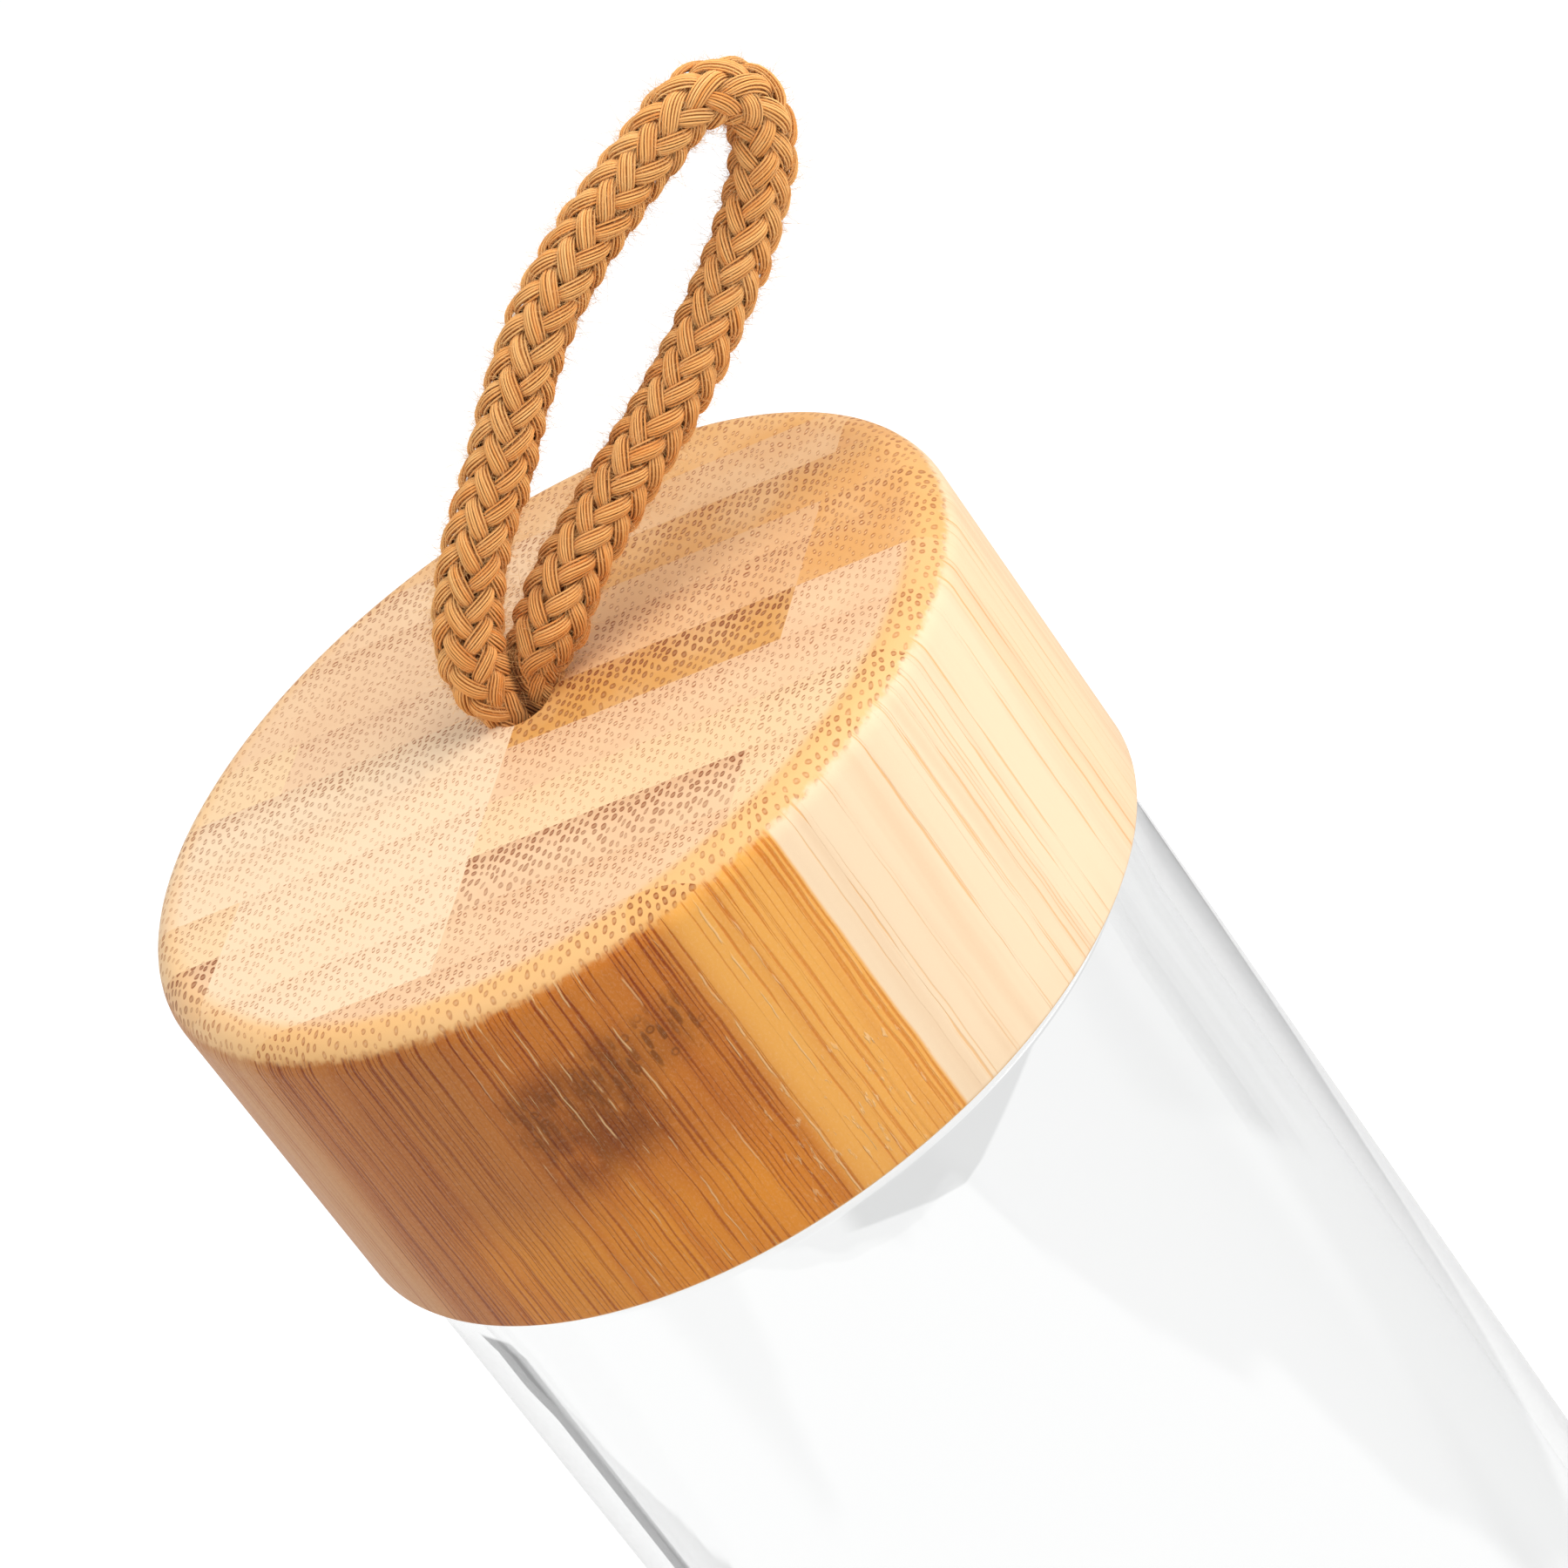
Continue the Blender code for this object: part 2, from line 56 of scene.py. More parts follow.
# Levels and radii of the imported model
LID_TOP_Z = 0.211
LID_BASE_Z = 0.1825
BODY_RADIUS = 0.0325
BODY_WALL = 0.0023
SHOULDER_Z = 0.182
SHOULDER_WALL = 0.0013
SHOULDER_ROUNDING = 0.0006
SHOULDER_INNER_ROUNDING = 0.0007
NECK_FILLET = 0.0012
NECK_RADIUS = 0.025
MOUTH_RADIUS = 0.0226
RIM_Z = 0.1935
RIM_ROUNDING = 0.0009
BASE_THICKNESS = 0.005
BASE_ROUNDING = 0.004
BASE_INNER_ROUNDING = 0.007
BASE_INNER_RISE = 0.0012
PUNT_RADIUS = 0.0205
PUNT_DEPTH = 0.0016
THREAD_PITCH = 0.004
THREAD_TURNS = 1.25
THREAD_START_TURN = 0.5
THREAD_FOOT_Z = 0.186
THREAD_HEIGHT = 0.0012
THREAD_ROOT_WIDTH = 0.0019
THREAD_CREST_WIDTH = 0.001
THREAD_RUN_OUT_TURNS = 0.1

LID_RADIUS = 0.0343
LID_BORE_RADIUS = 0.0283
LID_BORE_DEPTH = 0.0155
LID_TOP_ROUNDING = 0.0026
LID_RIM_ROUNDING = 0.0005
POCKET_RADIUS = 0.01145
POCKET_ROOF_LEVEL = 0.0235
CORD_HOLE_RADIUS = 0.0022
CORD_HOLE_X = -0.0003
CORD_HOLE_Y = 0.0027
CORD_HOLE_ROUNDING = 0.0004
CUT_OVERRUN = 0.002

# The longest steps of an outline's straight stretches
LONGEST_STEP = 0.004
LONGEST_THREAD_STEP = 0.0002

# Cord
CORD_RADIUS = 0.0025
CORD_STUB = 0.001
CORD_REACH_INTO_HOLE = 0.003
MOUTH_PINCH_SHARE = 0.50
MOUTH_PINCH_HEIGHT = 0.0028
KNOT_FULLNESS = 0.62
KNOT_LIFT = 0.004
KNOT_COIL_RADIUS = 0.0046
KNOT_COIL_TURNS = 0.9
KNOT_COIL_DROP = 0.0024
RIGHT_STRAND_SAG = 0.0007
RIGHT_STRAND_SAG_X = 0.005
RIGHT_STRAND_SAG_REACH = 0.003
CORD_ROUTE = [
    (-0.00215, 0.0030, 0.0013),
    (-0.0020, 0.0030, 0.0028),
    (-0.0015, 0.0030, 0.0047),
    (-0.0003, 0.0030, 0.0073),
    (0.0013, 0.0030, 0.0096),
    (0.0031, 0.0030, 0.0116),
    (0.0051, 0.0030, 0.0135),
    (0.0084, 0.0030, 0.0162),
    (0.0127, 0.0030, 0.0202),
    (0.0177, 0.0030, 0.0240),
    (0.0234, 0.0030, 0.0269),
    (0.0295, 0.0030, 0.0291),
    (0.0340, 0.0030, 0.0305),
    (0.0367, 0.0030, 0.0301),
    (0.0382, 0.0030, 0.0285),
    (0.0381, 0.0030, 0.0262),
    (0.0363, 0.0030, 0.0232),
    (0.0325, 0.0030, 0.0196),
    (0.0275, 0.0030, 0.0161),
    (0.0220, 0.0030, 0.0129),
    (0.0150, 0.0030, 0.0095),
    (0.0100, 0.0030, 0.0071),
    (0.0066, 0.0030, 0.0053),
    (0.0041, 0.0030, 0.0037),
    (0.0027, 0.0030, 0.0024),
    (0.00215, 0.0030, 0.0013),
]

# How full the loop is along its length: metres from its first end, then the share of the cord's
# radius in the loop's own plane and at right angles to it
CORD_FULLNESS = [
    (0.0000, 0.50, 0.80),
    (0.0035, 0.54, 0.85),
    (0.0055, 0.62, 1.00),
    (0.0080, 0.82, 1.10),
    (0.0118, 1.00, 1.08),
    (0.0150, 1.08, 1.02),
    (0.0270, 1.05, 1.02),
    (0.0500, 0.97, 0.98),
    (0.0600, 0.97, 0.97),
    (0.0820, 1.02, 1.00),
    (0.0943, 1.03, 1.04),
    (0.0980, 1.10, 1.10),
    (0.1010, 1.08, 1.15),
    (0.1030, 0.78, 1.00),
    (0.1046, 0.46, 0.85),
    (0.1085, 0.30, 0.75),
]

# Braid: eight strands turn each way, and each goes over two and under two of the others
STRANDS_EACH_WAY = 8
BRAID_LAY = 0.020
BRAID_SAMPLE_SPACING = 0.0003
STRAND_MIDDLE_RADIUS = 0.00180
STRAND_WEAVE = 0.00036
STRAND_HALF_WIDTH = 0.00062
STRAND_DOME = 0.00034
STRAND_DIVE_SHARE = 0.55
YARNS_PER_STRAND = 7
YARN_RADIUS = 0.000100
YARN_SIDES = 5
BODY_LIFT = 0.00008
BODY_WIDTH_SHARE = 0.85
BODY_FLATNESS = 0.35
BRAID_CORE_RADIUS = 0.00150
FUZZ_FIBRES = 24000
FUZZ_RADIUS = 0.000013
FUZZ_SHORTEST = 0.0004
FUZZ_EXTRA_LENGTH = 0.00032

# The white sheet that the glass mirrors, a painted reflection that glows on the floor only for
# mirrored rays: for each edge a point on it, metres on the floor from the bottle's axis, and the
# way out of the sheet in degrees from +X
SHEET_EDGES = [(0.0, -0.318, -90), (0.098, -0.303, -31), (0.195, -0.126, 12)]
SHEET_EDGE_BLUR = 0.005
SHEET_DARK_SHARE = 0.0
SHEET_GREY_SHARE = 0.42
SHEET_FAR_SHARE = 0.55
SHEET_FAR_REACH = (0.40, 0.46)

# What shows through the glass, painted dark shapes that glow on the floor only for rays through
# the glass: angles in degrees round the bottle from straight behind it, the reach of the dark
# shapes in metres on the floor, and how much each shape takes from the white
BEHIND_DARK_FAR_ANGLE = -53.0
BEHIND_DARK_ANGLE = -38.7
BEHIND_DARK_WALL_ANGLE = -44.3
BEHIND_DARK_WALL_CORNER_ANGLE = -40.5
BEHIND_DARK_SHARE = 0.17
BEHIND_REACH = (0.20, 0.34)
BEHIND_PATCH_DIP = 0.34
BEHIND_GREY_DIP = 0.08
BEHIND_CORNER_DIP = 0.20
LONGEST_GLASS_PATH = 7
FLOOR_HALF_WIDTH = 5.0
FLOOR_GAP = 0.0001
FLOOR_GLOW = 0.35


def make_camera():
    """The camera at the photograph's angle. It stays at a fixed place from the lid's top."""
    lens = bpy.data.cameras.new("camera")
    lens.sensor_fit = "HORIZONTAL"
    lens.sensor_width = SENSOR_WIDTH
    lens.lens = FOCAL_PIXELS * SENSOR_WIDTH / IMAGE_PIXELS
    lens.clip_start = 0.01
    lens.clip_end = 50
    made = bpy.data.objects.new("camera", lens)
    bpy.context.scene.collection.objects.link(made)
    tilt = Matrix.Rotation(math.pi / 2 - CAMERA_ELEVATION, 4, "X")
    place = Vector((0, 0, LID_TOP_Z)) + CAMERA_FROM_LID_TOP
    made.matrix_world = Matrix.Translation(place) @ tilt @ Matrix.Rotation(CAMERA_ROLL, 4, "Z")
    bpy.context.scene.camera = made


# Meshes


def mesh_object(name, points, faces, smooth=True):
    mesh = bpy.data.meshes.new(name)
    mesh.from_pydata([tuple(point) for point in points], [], faces)
    mesh.update()
    if smooth:
        mesh.shade_smooth()
    made = bpy.data.objects.new(name, mesh)
    bpy.context.scene.collection.objects.link(made)
    return made


def face_outwards(piece):
    shape = bmesh.new()
    shape.from_mesh(piece.data)
    bmesh.ops.recalc_face_normals(shape, faces=shape.faces)
    shape.to_mesh(piece.data)
    shape.free()


def arc(centre_r, centre_z, radius, from_degrees, to_degrees, steps=10, rise=None):
    """Points (radius, height) along an arc, ends included. A rise makes it part of an ellipse."""
    rise = rise or radius
    angles = np.radians(np.linspace(from_degrees, to_degrees, steps + 1))
    return [
        (centre_r + radius * math.cos(angle), centre_z + rise * math.sin(angle))
        for angle in angles
    ]


def line(start, end, longest):
    """Points between two (radius, height) points, no further apart than longest, ends left out."""
    count = math.ceil(math.dist(start, end) / longest)
    ends = list(zip(start, end))
    return [tuple(a + (b - a) * step / count for a, b in ends) for step in range(1, count)]


def crown(edge_r, edge_z, rise, steps=8):
    """Points (radius, height) of a shallow bowed face, from the axis out to its edge."""
    shares = [step / steps for step in range(steps + 1)]
    return [(edge_r * share, edge_z + rise * (1 - share * share)) for share in shares]


def turned_mesh(name, outline, segments, radius_change=None):
    """A turned piece. Outline points on the axis become single points, and radius_change(angle,
    radius, height) may move a ring's points in or out."""
    points = []
    rings = []
    for radius, height in outline:
        if radius < 1e-9:
            rings.append([len(points)])
            points.append((0, 0, height))
            continue
        rings.append(range(len(points), len(points) + segments))
        for step in range(segments):
            angle = 2 * math.pi * step / segments
            grown = radius + (radius_change(angle, radius, height) if radius_change else 0)
            points.append((grown * math.cos(angle), grown * math.sin(angle), height))
    faces = []
    for first, second in zip(rings, rings[1:]):
        for step in range(segments):
            after = (step + 1) % segments
            places = ((first, step), (first, after), (second, after), (second, step))
            corners = dict.fromkeys(ring[place % len(ring)] for ring, place in places)
            if len(corners) > 2:
                faces.append(list(corners))
    made = mesh_object(name, points, faces)
    face_outwards(made)
    return made


# Cord


def smooth_route(route, spacing):
    """Evenly spaced points on a smooth curve through a route's own points."""
    route = np.array(route)
    padded = np.vstack([2 * route[0] - route[1], route, 2 * route[-1] - route[-2]])
    shares = np.linspace(0, 1, 24, endpoint=False)[:, None]
    pieces = []
    for before, start, end, after in zip(padded, padded[1:], padded[2:], padded[3:]):
        curve = 2 * start + (end - before) * shares
        curve = curve + (2 * before - 5 * start + 4 * end - after) * shares**2
        curve = curve + (3 * start - before - 3 * end + after) * shares**3
        pieces.append(0.5 * curve)
    fine = np.vstack([*pieces, route[-1]])
    along = np.concatenate([[0], np.cumsum(np.linalg.norm(np.diff(fine, axis=0), axis=1))])
    places = np.linspace(0, along[-1], round(along[-1] / spacing) + 1)
    return np.column_stack([np.interp(places, along, fine[:, axis]) for axis in range(3)]), places


def unit(vectors):
    return vectors / np.linalg.norm(vectors, axis=-1, keepdims=True)


def tube_points(middle, across, outward, radius, sides):
    """Rings of points round a line, in the plane of its across and outward directions."""
    angles = 2 * np.pi * np.arange(sides) / sides
    ring = np.cos(angles)[None, :, None] * across[:, None, :]
    ring = ring + np.sin(angles)[None, :, None] * outward[:, None, :]
    return middle[:, None, :] + ring * np.asarray(radius).reshape(-1, 1, 1)


def tube_faces(rings, sides, first):
    """Quads of a tube whose points are stored ring by ring, from number first on."""
    ring, side = np.meshgrid(np.arange(rings - 1), np.arange(sides), indexing="ij")
    start = first + ring * sides
    after = (side + 1) % sides
    quads = np.stack([start + side, start + after, start + sides + after, start + sides + side], -1)
    return quads.reshape(-1, 4)


class Braid:
    """Collects the yarns of a round braid into one mesh, with facts for its material."""

    def __init__(self, seed):
        self.points = []
        self.faces = []
        self.facts = []
        self.count = 0
        self.random = np.random.default_rng(seed)

    def add_tube(self, middle, across, outward, radius, sides, along, tone, crevice_shade=0.0):
        rings = tube_points(middle, across, outward, radius, sides)
        self.points.append(rings.reshape(-1, 3))
        self.faces.append(tube_faces(len(middle), sides, self.count))
        self.count += rings.shape[0] * sides
        turn = np.tile(np.arange(sides) / sides, len(middle))
        facts = [np.repeat(along, sides), turn, np.full(len(turn), tone), np.full(len(turn), crevice_shade)]
        self.facts.append(np.column_stack(facts))

    def wander(self, places, spacing, size):
        """A smooth random value along the cord."""
        knots = np.arange(places[0] - spacing, places[-1] + 2 * spacing, spacing)
        values = self.random.normal(0, size, len(knots))
        return np.interp(places, knots, values)

    def add_strand(self, route, places, sides_of_route, number, way, fullness):
        """One strand: way is 1 or -1 for the hand of its helix."""
        normal, binormal = sides_of_route
        crossing = places * 2 * STRANDS_EACH_WAY / BRAID_LAY
        if way > 0:
            phase = crossing + 2 * number - 0.5
        else:
            phase = 2 * number - crossing - 2.5
        lift = np.tanh(1.6 * np.cos(np.pi * phase / 2)) / np.tanh(1.6)
        turn = number / STRANDS_EACH_WAY + way * places / BRAID_LAY
        angle = 2 * np.pi * turn + self.wander(places, 0.004, 0.035)
        reach = STRAND_MIDDLE_RADIUS + STRAND_WEAVE * lift + self.wander(places, 0.005, 0.00004)
        in_plane, out_of_plane = np.cos(angle)[:, None] * normal, np.sin(angle)[:, None] * binormal
        wide, deep = fullness[:, :1], fullness[:, 1:]
        middle = route + (in_plane * wide + out_of_plane * deep) * reach[:, None]
        outward = unit(in_plane / wide + out_of_plane / deep)
        across = unit(np.cross(np.gradient(middle, axis=0), outward))
        spread = STRAND_DIVE_SHARE + (1 - STRAND_DIVE_SHARE) * (lift + 1) / 2
        strand_tone = self.random.uniform(0.35, 0.65)
        for yarn in range(YARNS_PER_STRAND):
            seat = 2 * yarn / (YARNS_PER_STRAND - 1) - 1
            offset = STRAND_HALF_WIDTH * seat * spread + self.wander(places, 0.0025, 0.000025)
            height = STRAND_DOME * (1 - seat**2) * spread + self.wander(places, 0.0025, 0.00002)
            yarn_middle = middle + across * offset[:, None] + outward * height[:, None]
            radius = YARN_RADIUS * (1 + self.wander(places, 0.002, 0.07))
            tone = np.clip(strand_tone + self.random.normal(0, 0.20), 0, 1)
            self.add_tube(yarn_middle, across, outward, radius, YARN_SIDES, places, tone)
        body = middle + outward * BODY_LIFT
        body_width = STRAND_HALF_WIDTH * BODY_WIDTH_SHARE * spread
        # The strand's body, seen between its yarns, takes painted crevice shade at a share of 0.6
        self.add_tube(body, across, outward * BODY_FLATNESS, body_width, 8, places, 0.0, 0.6)

    def to_object(self, name):
        made = mesh_object(name, np.vstack(self.points), np.vstack(self.faces).tolist())
        facts = np.vstack(self.facts)
        for column, key in enumerate(("along", "turn", "tone", "crevice_shade")):
            attribute = made.data.attributes.new(key, "FLOAT", "POINT")
            attribute.data.foreach_set("value", facts[:, column].astype(np.float32))
        return made


def route_sides(route, up_hint):
    """Two directions at right angles to the route and to each other, at each of its points."""
    tangent = unit(np.gradient(route, axis=0))
    binormal = unit(np.cross(tangent, np.broadcast_to(up_hint, route.shape)))
    return unit(np.cross(binormal, tangent)), binormal


def braid_along(name, route, places, fullness, up_hint, seed):
    braid = Braid(seed)
    sides = route_sides(route, up_hint)
    for number in range(STRANDS_EACH_WAY):
        for way in (1, -1):
            braid.add_strand(route, places, sides, number, way, fullness)
    wide = sides[0] * fullness[:, :1]
    deep = sides[1] * fullness[:, 1:]
    # The core tube takes full painted crevice shade
    braid.add_tube(route, wide, deep, np.full(len(route), BRAID_CORE_RADIUS), 16, places, 0.0, 1.0)
    return braid.to_object(name)


def settle(route):
    """Presses the two strands together at the hole and lets the right one sag towards the lid."""
    x, height = route[:, 0], route[:, 2]
    near = np.exp(-np.maximum(height, 0) / MOUTH_PINCH_HEIGHT)
    pinched = x * (1 - MOUTH_PINCH_SHARE * near)
    sag = RIGHT_STRAND_SAG * np.exp(-(((x - RIGHT_STRAND_SAG_X) / RIGHT_STRAND_SAG_REACH) ** 2))
    second_half = np.arange(len(route)) > len(route) / 2
    return np.column_stack([pinched, route[:, 1], height - sag * second_half])


def loop_route():
    """The loop's middle line with its two ends carried straight down into the hole."""
    line_points, _ = smooth_route(CORD_ROUTE, BRAID_SAMPLE_SPACING)
    foot = CORD_STUB + CORD_REACH_INTO_HOLE
    steps = round(foot / BRAID_SAMPLE_SPACING)
    drops = np.linspace(foot, 0, steps, endpoint=False)[:, None] * np.array([0, 0, 1.0])
    route = np.vstack([line_points[0] - drops, line_points, line_points[-1] - drops[::-1]])
    route = settle(route) + np.array([0, 0, LID_TOP_Z])
    along = np.concatenate([[0], np.cumsum(np.linalg.norm(np.diff(route, axis=0), axis=1))])
    return route, along


def loop_fullness(along):
    """The loop's shares of the cord's radius in its plane and at right angles to it."""
    places, *shares = np.array(CORD_FULLNESS).T
    return np.column_stack([np.interp(along, places, share) for share in shares])


def make_fuzz(route, fullness, seed):
    """Short stray fibres that stand off the cord."""
    random = np.random.default_rng(seed)
    normal, binormal = route_sides(route, np.array([0, 1.0, 0]))
    points = []
    faces = []
    first = 0
    for _ in range(FUZZ_FIBRES):
        index = random.integers(12, len(route) - 12)
        angle = random.uniform(0, 2 * np.pi)
        wide, deep = fullness[index]
        outward = np.cos(angle) * wide * normal[index] + np.sin(angle) * deep * binormal[index]
        root = route[index] + outward * (CORD_RADIUS - 0.0003)
        heading = unit(outward * random.uniform(0.0, 0.9) + random.normal(0, 0.7, 3))
        length = FUZZ_SHORTEST + random.exponential(FUZZ_EXTRA_LENGTH)
        curl = random.normal(0, 0.8, 3)
        shares = np.linspace(0, 1, 6)[:, None]
        middle = root + heading * shares * length + curl * shares**2 * length * 0.5
        tangent = unit(np.gradient(middle, axis=0))
        across = unit(np.cross(tangent, np.array([0.3, 0.5, 0.8])))
        up = np.cross(across, tangent)
        radius = FUZZ_RADIUS * (1 - 0.5 * shares[:, 0])
        rings = tube_points(middle, across, up, radius, 3)
        points.append(rings.reshape(-1, 3))
        faces.append(tube_faces(len(middle), 3, first))
        first += rings.shape[0] * 3
    return mesh_object("cord_fuzz", np.vstack(points), np.vstack(faces).tolist())


def knot_route():
    """The hidden part of the cord: down one side of the hole, once round and up the other."""
    level = LID_BASE_Z + LID_BORE_DEPTH + KNOT_LIFT
    top = LID_TOP_Z - CORD_REACH_INTO_HOLE - 0.0001
    strand_x = CORD_ROUTE[-1][0] * (1 - MOUTH_PINCH_SHARE)
    strand_y = CORD_ROUTE[0][1]
    rough = [(-strand_x, strand_y, top), (-strand_x, strand_y, top - 0.002)]
    rough.append((-0.0035, strand_y, level + 0.0032))
    for step in range(11):
        angle = math.pi * (1 + 2 * KNOT_COIL_TURNS * step / 10)
        x, y = KNOT_COIL_RADIUS * math.cos(angle), KNOT_COIL_RADIUS * math.sin(angle)
        rough.append((x, strand_y + y, level + KNOT_COIL_DROP * (0.5 - step / 10)))
    rough.append((0.001, strand_y, level))
    rough += [(strand_x, strand_y, top - 0.003), (strand_x, strand_y, top)]
    return smooth_route(rough, 2 * BRAID_SAMPLE_SPACING)


# Glass


def thread_bump(angle, radius, height):
    """How far the glass thread stands out at a place on the neck."""
    if abs(radius - NECK_RADIUS) > 1e-6:
        return 0
    best = 0
    for whole_turns in range(-1, 3):
        turn = (angle / (2 * math.pi) - THREAD_START_TURN) % 1 + whole_turns
        if not 0 <= turn <= THREAD_TURNS:
            continue
        from_middle = abs(height - THREAD_FOOT_Z - THREAD_PITCH * turn)
        side = (THREAD_ROOT_WIDTH / 2 - from_middle) / ((THREAD_ROOT_WIDTH - THREAD_CREST_WIDTH) / 2)
        side = min(1, max(0, side))
        ends = min(1, min(turn, THREAD_TURNS - turn) / THREAD_RUN_OUT_TURNS)
        best = max(best, THREAD_HEIGHT * side * side * (3 - 2 * side) * ends)
    return best


def glass_outline():
    """From the inside of the base, up the inner wall, over the rim and down the outside."""
    inner = BODY_RADIUS - BODY_WALL
    base_turn_r = inner - BASE_INNER_ROUNDING
    base_turn_z = BASE_THICKNESS + BASE_INNER_ROUNDING
    side_top = SHOULDER_Z - SHOULDER_WALL - SHOULDER_INNER_ROUNDING
    fillet_r, fillet_z = NECK_RADIUS + NECK_FILLET, SHOULDER_Z + NECK_FILLET
    throat_r, throat_rise = fillet_r - MOUTH_RADIUS, NECK_FILLET + SHOULDER_WALL
    rim_z = RIM_Z - RIM_ROUNDING
    shoulder_r, shoulder_z = BODY_RADIUS - SHOULDER_ROUNDING, SHOULDER_Z - SHOULDER_ROUNDING
    outline = crown(base_turn_r, BASE_THICKNESS, BASE_INNER_RISE)
    outline += arc(base_turn_r, base_turn_z, BASE_INNER_ROUNDING, -90, 0)[1:]
    outline += line(outline[-1], (inner, side_top), LONGEST_STEP)
    outline += arc(inner - SHOULDER_INNER_ROUNDING, side_top, SHOULDER_INNER_ROUNDING, 0, 90)
    outline += arc(fillet_r, fillet_z, throat_r, 270, 180, rise=throat_rise)
    outline += arc(MOUTH_RADIUS + RIM_ROUNDING, rim_z, RIM_ROUNDING, 180, 90)
    outline += arc(NECK_RADIUS - RIM_ROUNDING, rim_z, RIM_ROUNDING, 90, 0)
    outline += line(outline[-1], (NECK_RADIUS, fillet_z), LONGEST_THREAD_STEP)
    outline += arc(fillet_r, fillet_z, NECK_FILLET, 180, 270)
    outline += arc(shoulder_r, shoulder_z, SHOULDER_ROUNDING, 90, 0, 16)
    outline += line(outline[-1], (BODY_RADIUS, BASE_ROUNDING), LONGEST_STEP)
    outline += arc(BODY_RADIUS - BASE_ROUNDING, BASE_ROUNDING, BASE_ROUNDING, 0, -90)
    outline += list(reversed(crown(PUNT_RADIUS, 0, PUNT_DEPTH)))
    return outline


# Bamboo lid

GRAIN_TURN = math.radians(-29.2)
GRAIN_U = Vector((math.cos(GRAIN_TURN), math.sin(GRAIN_TURN), 0))
GRAIN_V = Vector((-math.sin(GRAIN_TURN), math.cos(GRAIN_TURN), 0))
JOINTS = (-0.0239, -0.0018, 0.0218)
LOW_JOINTS = (-0.0239, -0.0022, 0.0149)
JOINT_LEAN = 0.035
STRIP_WIDTH = 0.0062

# Tones of the top's strips: partly the bamboo's own colours and partly painted light
TONES = {
    "cream": (0.88, 0.655, 0.43),
    "yellow": (0.87, 0.61, 0.35),
    "peach": (0.82, 0.535, 0.315),
    "pink": (0.83, 0.55, 0.335),
    "tan": (0.75, 0.43, 0.20),
    "gold": (0.735, 0.37, 0.115),
    "orange": (0.69, 0.32, 0.095),
    "ochre": (0.69, 0.345, 0.095),
}

# Blocks round the side: where each begins in degrees from the front, its colour, how much its
# streaks show, and over how many degrees it blends in. The colours are partly the blocks' own tones
# and partly painted light: painted shade in the dark blocks on the left and front, painted light in
# the pale blocks on the right
SIDE_BLOCKS_WITH_PAINTED_LIGHT = [
    (-180, (0.80, 0.52, 0.26), 0.35, 0.3),
    (-128, (0.86, 0.62, 0.34), 0.30, 0.3),
    (-96, (0.60, 0.285, 0.105), 0.60, 0.3),
    (-63, (0.50, 0.17, 0.030), 0.85, 5.0),
    (-30, (0.60, 0.19, 0.022), 0.80, 7.0),
    (-1.5, (0.85, 0.40, 0.082), 0.58, 3.0),
    (15, (0.89, 0.68, 0.455), 0.33, 0.3),
    (58, (0.90, 0.66, 0.42), 0.33, 0.3),
    (104, (0.82, 0.50, 0.22), 0.45, 0.3),
    (139, (0.86, 0.60, 0.33), 0.30, 0.3),
]

# Strips of the laminate from back to front: upper edge, lower edge, joints, and the tone and
# the strength of the fibre bundles in each block from left to right. The tones are partly the strips'
# own colours and partly painted light: paler to the front and left, darker to the back and right
STRIPS = [
    (0.0400, 0.0316, JOINTS, (("tan", 0.5), ("tan", 0.6), ("tan", 0.5), ("orange", 0.6))),
    (0.0316, 0.0255, JOINTS, (("tan", 0.5), ("tan", 0.5), ("gold", 0.5), ("orange", 0.6))),
    (0.0255, 0.0195, JOINTS, (("peach", 0.6), ("peach", 0.7), ("tan", 0.4), ("orange", 0.6))),
    (0.0195, 0.0135, JOINTS, (("peach", 0.5), ("peach", 0.6), ("gold", 0.8), ("gold", 0.5))),
    (0.0135, 0.0093, JOINTS, (("peach", 0.3), ("peach", 0.4), ("tan", 0.5), ("gold", 0.8))),
    (0.0093, 0.00325, JOINTS, (("yellow", 0.4), ("pink", 0.5), ("tan", 0.7), ("gold", 0.5))),
    (0.00325, -0.00295, JOINTS, (("cream", 0.7), ("cream", 0.7), ("ochre", 1.0), ("peach", 0.3))),
    (-0.00295, -0.0093, JOINTS, (("cream", 0.2), ("cream", 0.25), ("peach", 0.5), ("peach", 0.4))),
    (-0.0093, -0.01545, JOINTS, (("yellow", 0.4), ("cream", 0.3), ("yellow", 0.3), ("yellow", 0.6))),
    (-0.01545, -0.02175, JOINTS, (("peach", 0.95), ("cream", 0.2), ("peach", 0.9), ("yellow", 0.4))),
    (-0.02175, -0.0280, JOINTS, (("cream", 0.3), ("cream", 0.3), ("peach", 0.5), ("yellow", 0.3))),
    (-0.0280, -0.0343, LOW_JOINTS, (("peach", 0.4), ("peach", 0.4), ("peach", 0.5), ("gold", 0.7))),
]


